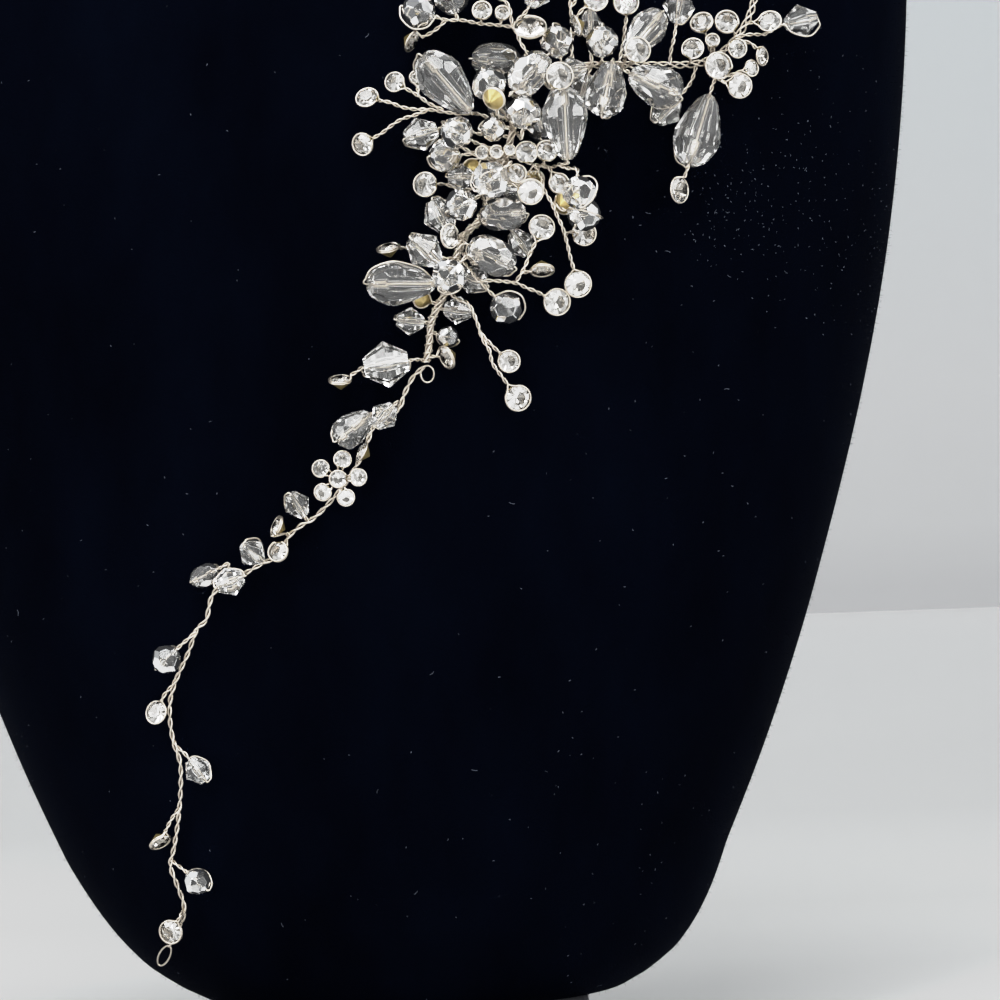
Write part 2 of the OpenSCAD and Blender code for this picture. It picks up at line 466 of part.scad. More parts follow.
function piece(s) = is_stone(s)
    ? stone(centre_of(s), face_of(s[TURN], s[LEAN]), diameter(s))
    : bead(centre_of(s), axis_of(s), diameter(s), diameter(s) * length_share(s), outline(s),
        sides_of(s));
function of_kinds(sprays, kinds) = [for (s = sprays) if (len(search(s[KIND], kinds)) > 0) s];
module pieces(sprays, kinds) shells([for (s = of_kinds(sprays, kinds)) piece(s)]);

// The larger stones and beads are named pieces of their own
ALL_SPRAYS = concat(LOW_SPRAYS, MID_SPRAYS, TOP_SPRAYS);
BIG = concat(of_kinds(ALL_SPRAYS, [DROP]), of_kinds(TOP_SPRAYS, [PEAR]));
module big_piece(i) color("aliceblue") shells([piece(BIG[i])]);
BICONE_BIG = LOW_SPRAYS[0];
function but_first(list) = [for (i = [1:len(list) - 1]) list[i]];

// One ring of the form, from a row of its table
function form_ring(row) = let (
        w = form_w / 2 * row[WIDE],
        power = 2 / form_square)
    [for (k = [0:form_sides - 1]) let (
            a = k * 360 / form_sides,
            deep = form_d * (sin(a) > 0 ? row[BACK] : row[FRONT]))
        [w * sign(cos(a)) * abs(cos(a)) ^ power,
         deep * sign(sin(a)) * abs(sin(a)) ^ power,
         base_h + row[HEIGHT] * form_h]];

module bust_form() color("midnightblue") {
    n = form_sides;
    last = len(FORM) - 1;
    polyhedron(
        points = [for (row = FORM) each form_ring(row)],
        faces = concat([[for (k = [0:n - 1]) k]],
            [for (i = [0:last - 1]) for (k = [0:n - 1]) let (m = (k + 1) % n)
                each [[i * n + k, (i + 1) * n + k, (i + 1) * n + m],
                    [i * n + k, (i + 1) * n + m, i * n + m]]],
            [[for (k = [n - 1:-1:0]) last * n + k]]));
}

module bust_base() color("dimgray")
    linear_extrude(base_h)
        hull()
            for (sx = [-1, 1], sy = [-1, 1])
                translate([sx * (base_w / 2 - base_corner), sy * (base_d / 2 - base_corner)])
                    circle(r = base_corner, $fn = 48);

// A straight stalk is one hull, and a bent one is swept
module stalk(route)
    if (len(route) == 2)
        hull() shells([tube(route, stalk_r, stalk_sides)]);
    else
        shells([tube(route, stalk_r, stalk_sides)]);

module stalks(sprays)
    for (s = sprays)
        stalk(stalk_route(s));

// An eye of plain wire lying on the bust, below the end that it hangs from, w and h being half
// its width and height and turn its lean from straight down
module eye(end, w, h, turn)
    shells([hoop([for (k = [0:eye_points - 1]) let (
            a = k * 360 / eye_points,
            x = w * cos(a),
            z = h * sin(a) - h)
        on_bust([end[0] + x * cos(turn) + z * sin(turn), end[1] - x * sin(turn) + z * cos(turn),
            end[2]])], eye_wire_r, stalk_sides)]);

module tail_wire() color("silver") {
    shells([tube([for (p = TAIL_STEM) on_bust(p)], stem_r, stem_sides)]);
    stalks(TAIL_SPRAYS);
    eye(TAIL_STEM[len(TAIL_STEM) - 1], eye_w, eye_h, tail_eye_turn);
    eye(KNOT_EYE, KNOT_EYE_SIZE[0], KNOT_EYE_SIZE[1], 0);
}

module vine_wire() color("silver") {
    shells([tube([for (p = VINE_STEM) on_bust(p)], stem_r, stem_sides)]);
    stalks(LOW_SPRAYS);
    stalks(MID_SPRAYS);
    stalks(TOP_SPRAYS);
    stalks(END_SPRAYS);
    eye(VINE_STEM[len(VINE_STEM) - 1], eye_w, eye_h, vine_eye_turn);
}

module flower_stones() color("white") {
    d = stone_d * flower_share;
    lift = flower_rise + gap + d / 2;
    spread = d + gap;
    shells(concat(
        [stone(on_bust([FLOWER_PLACE[0], FLOWER_PLACE[1], lift]), face_of(0, 0), d)],
        [for (k = [0:flower_petals - 1]) let (a = flower_turn + k * 360 / flower_petals)
            stone(on_bust([FLOWER_PLACE[0] + spread * cos(a), FLOWER_PLACE[1] + spread * sin(a),
                lift]), face_of(a, 8), d)]));
}

module teardrop_low() big_piece(0);
module teardrop_centre() big_piece(1);
module teardrop_left() big_piece(2);
module petal_up() big_piece(3);
module teardrop_right() big_piece(4);
module petal_down() big_piece(5);
module petal_side() big_piece(6);
module big_bicone() color("aliceblue") shells([piece(BICONE_BIG)]);

module tail_bicones() color("aliceblue") pieces(TAIL_SPRAYS, [BICONE]);
module tail_round_beads() color("aliceblue") pieces(TAIL_SPRAYS, [ROUND, BARREL, PEAR]);
module tail_stones() color("white") pieces(TAIL_SPRAYS, [STONE]);
module tail_foil_stones() color("gold") pieces(TAIL_SPRAYS, [FOIL]);
module low_bicones() color("aliceblue") pieces(but_first(LOW_SPRAYS), [BICONE]);
module low_round_beads() color("aliceblue") pieces(LOW_SPRAYS, [ROUND, BARREL]);
module low_stones() color("white") pieces(LOW_SPRAYS, [STONE]);
module low_foil_stones() color("gold") pieces(LOW_SPRAYS, [FOIL]);
module mid_bicones() color("aliceblue") pieces(MID_SPRAYS, [BICONE]);
module mid_round_beads() color("aliceblue") pieces(MID_SPRAYS, [ROUND, BARREL]);
module mid_stones() color("white") pieces(MID_SPRAYS, [STONE]);
module mid_foil_stones() color("gold") pieces(MID_SPRAYS, [FOIL]);
module top_bicones() color("aliceblue") pieces(TOP_SPRAYS, [BICONE]);
module top_round_beads() color("aliceblue") pieces(TOP_SPRAYS, [ROUND, BARREL]);
module top_stones() color("white") pieces(TOP_SPRAYS, [STONE]);
module top_foil_stones() color("gold") pieces(TOP_SPRAYS, [FOIL]);
module end_bicones() color("aliceblue") pieces(END_SPRAYS, [BICONE]);
module end_round_beads() color("aliceblue") pieces(END_SPRAYS, [ROUND]);
module end_stones() color("white") pieces(END_SPRAYS, [STONE]);

bust_form();
bust_base();
tail_wire();
vine_wire();
teardrop_left();
teardrop_centre();
teardrop_low();
teardrop_right();
petal_up();
petal_down();
petal_side();
big_bicone();
tail_bicones();
tail_round_beads();
tail_stones();
tail_foil_stones();
flower_stones();
low_bicones();
low_round_beads();
low_stones();
low_foil_stones();
mid_bicones();
mid_round_beads();
mid_stones();
mid_foil_stones();
top_bicones();
top_round_beads();
top_stones();
top_foil_stones();
end_bicones();
end_round_beads();
end_stones();
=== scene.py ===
# %% [markdown]
# # A wired hair vine on a velvet neck bust
# The real thing is a hair jewel. Cut glass beads and small foil-backed stones sit at the ends of
# stalks of twisted silver wire, and all the stalks grow from one stem. It lies over a black velvet
# neck bust, and its thin tail runs down the chest to a small eye.
#
# The scene is a lesson in cells. Each part is explained first and made after. Sizes are in
# millimetres until a mesh is made, because that is how such a jewel is measured at the bench.
#
# The first cell loads the model that was drawn as solids. Every piece here lies on it.

# %% Load the frame
import math

import bmesh
import bpy
import numpy as np
from mathutils import Matrix


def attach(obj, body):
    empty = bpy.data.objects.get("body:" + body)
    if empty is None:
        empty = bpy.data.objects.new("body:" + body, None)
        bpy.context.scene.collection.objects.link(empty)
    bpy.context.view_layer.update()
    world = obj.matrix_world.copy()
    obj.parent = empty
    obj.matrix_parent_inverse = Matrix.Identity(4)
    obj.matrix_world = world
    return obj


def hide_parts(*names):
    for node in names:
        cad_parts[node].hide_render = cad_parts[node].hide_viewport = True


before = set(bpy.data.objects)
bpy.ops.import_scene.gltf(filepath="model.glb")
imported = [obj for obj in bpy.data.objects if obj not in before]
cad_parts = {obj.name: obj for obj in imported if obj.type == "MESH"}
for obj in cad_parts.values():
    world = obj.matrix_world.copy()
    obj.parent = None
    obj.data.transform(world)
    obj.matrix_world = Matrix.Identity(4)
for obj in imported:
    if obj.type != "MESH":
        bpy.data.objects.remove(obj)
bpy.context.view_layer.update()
MM = 0.001
print("solids loaded:", len(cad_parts), "nodes")

# %% [markdown]
# ## The camera
# The photograph looks at the chest from straight in front, a little from above, and turned by two
# degrees. A long lens from 60 cm away gives the same weak perspective. The camera could be aimed
# with a constraint, but a matrix built from its three axes says exactly where it looks.

# %% Camera
VIEW_MIDDLE = np.array([20.5, -50.0, 101.5])
VIEW_DISTANCE = 600.0
VIEW_DOWN = math.radians(1.5)
VIEW_ROLL = math.radians(2.0)
SENSOR_WIDE = 36.0
FOCAL_SHARE = 3.6
NEAREST = 20.0


def new_object(name, data):
    """An object with its data, put into the scene."""
    made = bpy.data.objects.new(name, data)
    bpy.context.scene.collection.objects.link(made)
    return made


def pose(right, up, back, place):
    """A matrix from three directions and a place in millimetres."""
    return Matrix([[right[i], up[i], back[i], place[i] * MM] for i in range(3)] + [[0, 0, 0, 1]])


ahead = np.array([0, math.cos(VIEW_DOWN), -math.sin(VIEW_DOWN)])
level_up = np.array([0, math.sin(VIEW_DOWN), math.cos(VIEW_DOWN)])
level_right = np.array([1.0, 0, 0])
view_right = level_right * math.cos(VIEW_ROLL) - level_up * math.sin(VIEW_ROLL)
view_up = level_right * math.sin(VIEW_ROLL) + level_up * math.cos(VIEW_ROLL)

lens = bpy.data.cameras.new("photo_camera")
lens.sensor_width = SENSOR_WIDE
lens.lens = SENSOR_WIDE * FOCAL_SHARE
lens.clip_start = NEAREST * MM
camera = new_object("photo_camera", lens)
place = VIEW_MIDDLE - VIEW_DISTANCE * ahead
camera.matrix_world = pose(view_right, view_up, -ahead, place)
bpy.context.scene.camera = camera
print("camera stands at", place.round(1), "mm")

# %% [markdown]
# ## Where everything lies
# The jewel is written down as short tables, the same ones that the solids come from. A stem is a
# row of points. A spray is one stalk and the piece at its end: its kind, its size as a share of the
# usual one, how far it is held off the velvet, the stalk's points, the place of the piece, and for
# a stone the turn and lean of its face. A point is [across, up, off the velvet].
#
# Tables suit a thing that was bent by hand. No rule would give these places, and a table can be
# put right one row at a time.

# %% Tables of the vine
TWIG, BICONE, ROUND, BARREL, DROP, PEAR, STONE, FOIL = range(8)

TAIL_STEM = [
    [5.5, 104.3, 1.6], [3.5, 102.5, 1.6], [2, 99.5, 1.6], [1, 97, 1.6], [-2.5, 95, 1.6],
    [-4, 92, 1.6], [-5.5, 88.5, 1.6], [-8, 84.5, 1.6], [-10.5, 81.5, 1.6], [-13, 79, 1.6],
    [-15.5, 77.5, 1.6], [-17.5, 75.5, 1.6], [-18.2, 73, 1.6], [-21.5, 71.5, 1.6],
    [-25, 69.5, 1.6], [-28, 68, 1.6], [-30, 66, 1.6], [-31, 62, 1.6], [-32.5, 60.5, 1.6],
    [-34, 56.5, 1.6], [-36, 52, 1.6], [-37, 48.5, 1.6], [-37, 45, 1.6], [-36.4, 41.5, 1.6],
    [-35.3, 38, 1.6], [-35.3, 33, 1.6], [-35.7, 28.5, 1.6], [-36.4, 24, 1.6],
    [-37, 21, 1.6], [-36, 18, 1.6], [-34.8, 14.5, 1.6], [-35, 12, 1.6], [-36.5, 9.2, 1.6],
    [-37.3, 7.3, 1.6]]

VINE_STEM = [
    [5.7, 105, 1.6], [6.2, 108, 2], [6.5, 111.5, 2.2], [7.5, 114, 2.4], [9, 117, 2.6],
    [10.5, 122, 2.8], [12.5, 126.5, 3], [14.5, 128.5, 3.2], [16, 131.5, 3.2],
    [17.5, 135, 3.2], [19, 139, 3.2], [20, 143, 3.2], [21.5, 147.5, 3.2], [24, 151, 3.2],
    [28, 153.5, 3.2], [33, 154.5, 3.2], [38, 154.5, 3.2], [43, 154.5, 3.2],
    [47.5, 154.5, 3], [52, 155, 3], [56, 157.5, 3], [59, 161.5, 3], [60.5, 166, 3],
    [61, 172, 2.5], [60, 180, 2], [57, 188, 1.6], [52, 194, 1.6]]

TAIL_SPRAYS = [
    [BICONE, 0.96, 2.6, [[1, 97, 1.6], [0.9, 98.4, 4.6]], [-1.3, 96]],
    [PEAR, 0.88, 0, [[-1.4, 96, 1.6], [-3.3, 96.4, 2.6]], [-6.4, 94]],
    [FOIL, 0.9, 2.4, [[-4.4, 91.2, 1.6]], [-5.1, 90], 150, 75],
    [BICONE, 0.92, 0, [[-14, 78.4, 1.6]], [-15.8, 81.2]],
    [FOIL, 0.9, 0, [[-17, 76, 1.6]], [-19.2, 77.6], 155, 70],
    [STONE, 0.86, 2.2, [[-18, 74.5, 1.6]], [-19, 73.4], 140, 25],
    [BICONE, 0.96, 1.2, [[-21.3, 71.6, 1.6]], [-23.3, 73.2]],
    [BICONE, 1, 2.4, [[-24.4, 69.8, 1.6], [-24.6, 69.4, 4.6]], [-27, 68.4]],
    [BARREL, 0.62, 0, [[-28, 68, 1.6], [-27.2, 71.4, 2.4]], [-31.2, 69.4]],
    [ROUND, 0.87, 0, [[-32.7, 60, 1.6], [-35, 58, 2.6]], [-37.6, 55.4]],
    [STONE, 0.98, 0, [[-35.9, 52.3, 1.6], [-37.9, 49.6, 2.2]], [-39.4, 46.6], 150, 30],
    [BICONE, 0.94, 0, [[-36.5, 42, 1.6], [-34.6, 39.8, 2.6]], [-32.4, 36.9]],
    [FOIL, 0.95, 0, [[-35.5, 30.6, 1.6], [-37.4, 27.6, 2.2]], [-38.7, 24.9], 300, 62],
    [ROUND, 0.8, 0, [[-36.8, 21.8, 1.6], [-34.9, 20.4, 2.4]], [-32.5, 18.3]],
    [STONE, 1.02, 2.2, [[-34.9, 13.4, 1.6], [-35.4, 12.4, 3.8]], [-37, 9.8], 200, 20]]

LOW_SPRAYS = [
    [BICONE, 1.56, 0, [[5.5, 105.2, 1.8], [3.9, 105.4, 4]], [-1, 104.6]],
    [FOIL, 0.95, 0.6, [[-4.9, 104.2, 4.2], [-6.2, 103.2, 3.4]], [-8.6, 102], 90, 70],
    [FOIL, 1, 0.6, [[5.9, 106, 1.8]], [9.1, 105.8], 205, 62],
    [ROUND, 0.64, 0, [[6.5, 110, 2.1]], [9.3, 109.2]],
    [BICONE, 0.96, 0, [[6.5, 111.5, 2.2]], [3, 111.8]],
    [BICONE, 0.97, 0, [[7.5, 114, 2.4]], [11, 113.6]],
    [STONE, 1.07, 2.5, [[9, 117, 2.6], [12.8, 114.6, 6.2], [15, 109, 6.2], [17.6, 103.5, 6]],
        [21, 99], 330, 14],
    [STONE, 0.92, 3, [[14.6, 110, 6.2], [17, 107.4, 6.2]], [19.5, 105.1], 20, 10],
    [FOIL, 0.75, 0, [[7.8, 114.6, 2.4]], [5, 115.4], 120, 150],
    [DROP, 0.97, 3, [[9.1, 117.7, 2.65], [8.4, 118, 5.8]], [1.5, 118]],
    [ROUND, 1, 6.2, [[11.3, 123.8, 2.9], [12.3, 122.6, 8]], [9.5, 119.4]],
    [BICONE, 1.26, 3.3, [[10.2, 121.2, 2.8], [8.6, 120.9, 5.4]], [5.4, 123.6]],
    [FOIL, 0.95, 0.5, [[10.6, 122.2, 2.8], [6, 122.6, 1.2], [2.5, 124, 1.2]],
        [-0.6, 124], 100, 70],
    [BICONE, 1.04, 0, [[10, 120.3, 2.7]], [13.6, 118.8]],
    [STONE, 1, 7.5, [[12, 125.5, 3]], [9.7, 126], 0, 45],
    [ROUND, 0.97, 1.5, [[13.9, 119.2, 6], [16, 117, 6]], [19, 114]],
    [STONE, 1.1, 1.5, [[11, 122.4, 2.8], [14.4, 118.6, 6.6], [19, 118.4, 7], [22.5, 117.3, 6]],
        [27.5, 115], 340, 12],
    [STONE, 1.05, 4, [[20.5, 118.2, 6.8], [22.2, 121, 7], [24, 125, 7]], [25, 127.5], 60, 16],
    [FOIL, 1, 3, [[21.6, 119.9, 7]], [25, 120.3], 270, 65],
    [STONE, 1.1, 2, [[24, 138, 3.4], [26.6, 131.5, 5.4], [28.4, 127.5, 6.6], [29.7, 122.5, 6]],
        [31, 118], 300, 12],
    [BARREL, 1.03, 4.2, [[12.8, 127, 3], [12.1, 124.9, 7.4]], [16.6, 122.7]],
    [BICONE, 0.96, 0, [[15.9, 131.3, 3.2], [19.4, 127.6, 2.8]], [21.4, 124.8]],
    [FOIL, 0.9, 2, [[26.7, 131.4, 5.4]], [28.6, 131.4], 30, 150],
    [STONE, 1, 0.3, [[28.7, 126.2, 6.4]], [32, 126.4], 0, 10]]

MID_SPRAYS = [
    [BARREL, 0.93, 4, [[15.5, 130.5, 3.2], [14.4, 129.4, 7]], [18.5, 129.6]],
    [ROUND, 0.95, 5.4, [[15.8, 131.2, 3.2], [15, 132.8, 7.4]], [11.5, 131.2]],
    [BICONE, 1.2, 0, [[12.6, 126.6, 3], [9.8, 125.8, 3]], [8, 129.4]],
    [STONE, 1, 1, [[17.3, 134.5, 3.2], [13, 133.8, 1.4], [9, 134.6, 1.6]], [5.5, 134.6], 180, 14],
    [BICONE, 0.92, 2, [[17.7, 135.6, 3.2], [15, 135.8, 4.6]], [11.5, 135.8]],
    [ROUND, 0.93, 3, [[18.7, 138.2, 3.2], [13.4, 139.6, 5.4]], [8.8, 139.4]],
    [FOIL, 0.8, 0, [[15.8, 138.9, 2.5], [11, 141, 1.4]], [8.2, 140.6], 135, 150],
    [FOIL, 0.8, 0, [[18.8, 138.6, 3.2], [15, 139, 2.2]], [13.2, 137.4], 315, 150],
    [ROUND, 0.97, 6.6, [[19, 139.6, 3.2], [13.8, 141.6, 7]], [10.8, 143.2]],
    [BICONE, 1.16, 0, [[19.8, 142.4, 3.2], [14.6, 143, 2.4], [9.4, 144.4, 3]], [4.8, 143]],
    [ROUND, 1.1, 6, [[19, 138.8, 3.2], [19.8, 138.2, 8.4]], [16.5, 135.4]],
    [STONE, 0.8, 3, [[18.2, 136.8, 3.2]], [20.8, 136.4], 0, 12],
    [ROUND, 0.77, 0, [[17, 133.6, 3.2]], [20.6, 133]],
    [STONE, 0.57, 6, [[18.9, 139.2, 3.2]], [15, 139.9], 180, 10],
    [STONE, 0.57, 6, [[19.1, 139.6, 3.2]], [17.4, 140], 90, 10],
    [STONE, 0.5, 6, [[19.2, 140, 3.2]], [19.6, 140.4], 60, 10],
    [ROUND, 0.73, 4.4, [[20.2, 144, 3.2], [19.6, 144, 6.8]], [16.8, 143.8]],
    [TWIG, 1, 0, [[19.2, 139.4, 3.2], [22.5, 138.3, 3], [26.5, 137.5, 4]], [29.4, 138.2, 7.5]],
    [STONE, 0.93, 4, [[22.5, 138.3, 3]], [22.4, 140], 100, 12],
    [STONE, 0.88, 4, [[25, 137.8, 3.7]], [25.8, 140.2], 60, 14],
    [STONE, 0.85, 0.6, [[23.5, 138.1, 3.2]], [23.7, 135.4], 270, 12],
    [STONE, 1.05, 4.8, [[16.9, 133.4, 3.2], [20, 134.6, 6]], [23.1, 133.4], 300, 12],
    [STONE, 0.85, 2, [[26, 137.6, 3.8]], [27.8, 134.8], 30, 12],
    [ROUND, 1, 8.6, [[28, 137.8, 5.8], [30.8, 137.2, 9.6]], [31.2, 133.2]],
    [ROUND, 1, 4, [[26.7, 131.6, 5.4], [28.4, 130.4, 6.6]], [32, 129.6]],
    [DROP, 1.02, 4, [[29.3, 138, 7.4]], [28.9, 144.7]],
    [BARREL, 0.7, 0.6, [[25.5, 137.7, 3.8], [25.4, 140.6, 2.4]], [24.4, 144.6]],
    [ROUND, 1, 4.8, [[20.3, 143.6, 3.2], [21.6, 142.2, 7.6]], [21.9, 146.6]],
    [ROUND, 0.7, 0, [[20.7, 145.2, 3.2]], [17.8, 147]],
    [FOIL, 0.95, 9.2, [[20.6, 144.8, 3.2], [17.7, 146, 9.4]], [17, 148.9], 45, 140],
    [STONE, 0.93, 1.5, [[6, 147, 3.9], [1.5, 145.4, 4], [-1.6, 143.2, 4]], [-4.9, 141.3], 200, 30],
    [STONE, 0.95, 2, [[20.2, 143.8, 3.2], [14, 146.4, 3.6], [8, 146.8, 3.8], [1.5, 147.5, 4]],
        [-4.2, 149.2], 110, 35],
    [STONE, 0.83, 1.5, [[8.6, 147, 3.8], [4.5, 149.3, 3.4], [2.6, 150.4, 3.6]],
        [0.4, 151.7], 150, 16],
    [STONE, 0.57, 1.5, [[4.5, 149.3, 3.4]], [4, 152.4], 60, 12],
    [DROP, 1.04, 3, [[14, 146.4, 3.6], [13.4, 146.4, 5.8]], [9, 151.4]]]

TOP_SPRAYS = [
    [ROUND, 1, 1.2, [[24, 151, 3.2], [23.6, 155, 5], [20.3, 160.6, 4.4], [14.5, 161.4, 4.4],
        [9, 162, 4.4]], [4.4, 163.5]],
    [FOIL, 0.95, 0.5, [[9, 162, 4.4], [6, 159.6, 3.2]], [3.4, 158.4], 330, 70],
    [ROUND, 1.08, 1.5, [[11, 161.8, 4.5]], [9.9, 166]],
    [STONE, 0.8, 4.5, [[14.8, 161.4, 4.4]], [15, 163.6], 100, 16],
    [STONE, 0.62, 4.5, [[18, 160.9, 4.4]], [18.4, 163.2], 80, 14],
    [FOIL, 0.95, 1.5, [[20, 160.7, 4.4], [19.6, 164, 4]], [17.6, 167], 200, 110],
    [STONE, 1.33, 6, [[20.3, 160.6, 4.4]], [23, 160.8], 90, 45],
    [BICONE, 1, 1.2, [[20.3, 160.6, 4.4], [22.2, 163.2, 3.6]], [24.2, 166.4]],
    [BARREL, 1, 0, [[23.8, 153.6, 4.4], [22.4, 154.8, 3.8]], [17.4, 155.2]],
    [ROUND, 1.03, 4.6, [[20.2, 144.2, 3.2], [17.8, 147.6, 6]], [16.2, 151.1]],
    [BARREL, 1, 6.2, [[22.2, 148.6, 3.2], [19.6, 149.5, 9]], [23, 153.1]],
    [STONE, 1.1, 9.4, [[25.6, 152, 3.1], [26.4, 150.7, 9.2]], [28, 152.7], 0, 12],
    [ROUND, 0.97, 4, [[27, 152.9, 3.2], [28.2, 155, 6]], [27.4, 158.4]],
    [TWIG, 1, 0, [[30, 153.9, 3.2], [30, 160, 3.4]], [29.8, 167, 2.8]],
    [FOIL, 0.92, 4.6, [[30, 159, 3.3]], [30.6, 161], 200, 75],
    [BICONE, 0.96, 4.2, [[31.5, 154.2, 3.2], [32.3, 154, 6.4]], [30, 153.6]],
    [ROUND, 0.95, 4.2, [[34.6, 154.5, 3.2], [35, 155, 6.4]], [35, 158.4]],
    [STONE, 0.95, 3.6, [[30.1, 161.4, 3.4], [32, 164, 4.6]], [34, 165.4], 90, 14],
    [BICONE, 0.85, 0, [[33.4, 154.5, 3.2], [33, 157.6, 2.6]], [33, 161.4]],
    [BICONE, 0.9, 0, [[33.2, 154.5, 3.2]], [32, 150.6]],
    [PEAR, 1.1, 3.6, [[36.6, 154.5, 3.2], [36.8, 155.4, 6.8]], [35.8, 150.5]],
    [PEAR, 1.12, 4.2, [[38.4, 154.5, 3.2], [38.8, 153.6, 7.4]], [43.9, 151.2]],
    [DROP, 0.8, 3.6, [[38.6, 154.5, 3.2], [38.7, 156, 6.6]], [42, 159.8]],
    [STONE, 1.05, 2, [[37.8, 154.5, 3.2], [38.6, 158.5, 2.4], [39, 162, 3]], [39, 165], 0, 10],
    [STONE, 1.05, 9.4, [[39.6, 154.5, 3.2], [40, 155, 9]], [41, 157], 0, 12],
    [BICONE, 1.1, 0, [[50.8, 154.8, 3], [49.4, 151, 2.8]], [45.8, 146.9]],
    [BICONE, 1.1, 1, [[46.3, 154.5, 3], [47, 159, 3.8]], [47.8, 164.2]],
    [STONE, 0.95, 3, [[53.4, 155.8, 3], [52.6, 158.4, 4]], [51.6, 161.6], 120, 35],
    [STONE, 0.98, 3.5, [[57.3, 159.3, 3]], [55.8, 161.7], 90, 14],
    [STONE, 0.92, 4, [[49.6, 154.7, 3]], [50.1, 157.3], 120, 20],
    [STONE, 1.1, 4.6, [[52.8, 155.4, 3], [54.2, 153.8, 4]], [54.4, 154.4], 0, 8],
    [STONE, 0.6, 4.6, [[53.6, 156, 3]], [53.4, 158.6], 90, 12],
    [STONE, 0.8, 4.6, [[56.2, 157.7, 3]], [57.6, 157.3], 0, 12],
    [STONE, 0.8, 2.6, [[57, 158.8, 3], [60, 158, 3.6]], [61.8, 156], 0, 50],
    [TWIG, 1, 0, [[52, 155, 3], [54.2, 152.4, 3]], [55.4, 151.6, 3]],
    [STONE, 0.7, 2.6, [[54.4, 152.2, 3], [57.4, 153.2, 4]], [60, 154], 0, 30],
    [STONE, 1.02, 1.6, [[54.8, 151.8, 3]], [58, 151], 300, 12],
    [DROP, 1.07, 0.4, [[54, 152.6, 3], [53.4, 151, 4]], [51.2, 143.7]],
    [STONE, 1.1, 1, [[49.45, 137.9, 5.35]], [48, 133.7], 0, 46],
    [STONE, 1, 3, [[59, 161.5, 3]], [62.9, 161.9], 110, 30],
    [BICONE, 1.16, 1.2, [[57.4, 159.2, 3], [61.6, 159.6, 3.6], [64.4, 161, 3.8]],
        [68.2, 161.9]]]

END_SPRAYS = [
    [BICONE, 1, 0.4, [[60.7, 168.5, 2.8]], [56, 169.8]],
    [STONE, 1.05, 1, [[61, 171.5, 2.6]], [65.6, 170], 0, 12],
    [ROUND, 0.95, 0.3, [[60.8, 174, 2.35], [62.6, 176.2, 2.6]], [66, 177.6]],
    [STONE, 1, 0.8, [[60.5, 175.7, 2.3]], [56.4, 176.4], 180, 14],
    [BICONE, 0.96, 0.3, [[59.8, 181, 2], [61.4, 183, 2.4]], [64, 185.4]],
    [STONE, 0.95, 0.6, [[58.6, 183.6, 1.8]], [54.8, 183.4], 180, 12],
    [BICONE, 0.92, 0.3, [[57, 188, 1.6], [58.4, 190, 2.2]], [60.6, 192.2]],
    [STONE, 1, 0.4, [[57, 188, 1.6]], [52.4, 188.6], 180, 10],
    [ROUND, 1, 0.4, [[29.7, 166.6, 2.9]], [29.8, 173.4]],
    [STONE, 1, 1, [[29.9, 165.5, 3]], [25.2, 171.4], 150, 12],
    [STONE, 1, 1, [[29.9, 164.2, 3]], [34.4, 170.8], 30, 12]]

# %% [markdown]
# ## The bust's shape
# A neck bust is a padded board with a rounded plan. Each row below is one level of it: its height,
# half width, front depth and back depth, all as shares of the whole. Between the rows a smooth
# curve is followed. The vine's points are then laid on the front of this shape, so that the wire
# lies on the chest wherever the chest goes.

# %% Levels of the bust
FORM = [
    [0.000, 0.402, 0.38, 0.33],
    [0.008, 0.444, 0.40, 0.35],
    [0.024, 0.502, 0.43, 0.37],
    [0.054, 0.564, 0.47, 0.38],
    [0.100, 0.627, 0.50, 0.39],
    [0.170, 0.708, 0.53, 0.40],
    [0.260, 0.795, 0.56, 0.40],
    [0.380, 0.888, 0.57, 0.40],
    [0.515, 0.960, 0.57, 0.40],
    [0.640, 0.996, 0.54, 0.38],
    [0.700, 0.990, 0.50, 0.37],
    [0.755, 0.930, 0.45, 0.35],
    [0.800, 0.790, 0.40, 0.33],
    [0.835, 0.620, 0.36, 0.31],
    [0.870, 0.480, 0.33, 0.30],
    [0.915, 0.410, 0.31, 0.29],
    [0.975, 0.385, 0.30, 0.28],
    [0.992, 0.365, 0.28, 0.26],
    [1.000, 0.310, 0.23, 0.21]]

FORM_HIGH, FORM_WIDE, FORM_DEEP = 270.0, 194.0, 90.0
FORM_SQUARE = 2.3
FORM_EDGE = 0.98
FOOT_HIGH = 14.0
levels = np.array(FORM)
HEIGHT, WIDE, FRONT, BACK = range(4)


def level_at(column, share):
    """One column of the levels at a share of the height, followed smoothly."""
    def slope(i):
        low, high = max(i - 1, 0), min(i + 1, len(levels) - 1)
        return (levels[high, column] - levels[low, column]) / (
            levels[high, HEIGHT] - levels[low, HEIGHT])
    i = int(np.clip(np.searchsorted(levels[:, HEIGHT], share, side="right") - 1,
                    0, len(levels) - 2))
    span = levels[i + 1, HEIGHT] - levels[i, HEIGHT]
    t = (share - levels[i, HEIGHT]) / span
    return ((2 * t**3 - 3 * t**2 + 1) * levels[i, column]
            + (3 * t**2 - 2 * t**3) * levels[i + 1, column]
            + span * (t**3 - 2 * t**2 + t) * slope(i)
            + span * (t**3 - t**2) * slope(i + 1))


def chest_y(x, z):
    """Front of the bust at x, and z above the foot."""
    share = min(max(z / FORM_HIGH, 0), 1)
    across = min(abs(x) / (FORM_WIDE / 2 * level_at(WIDE, share)), FORM_EDGE)
    return -FORM_DEEP * level_at(FRONT, share) * (1 - across**FORM_SQUARE) ** (1 / FORM_SQUARE)


VINE_UP, VINE_SIDE, VINE_LEAN = 5.5, 2.5, math.radians(2)
READ_MIDDLE = (18.0, 82.0)
READ_PLANE = 50.0


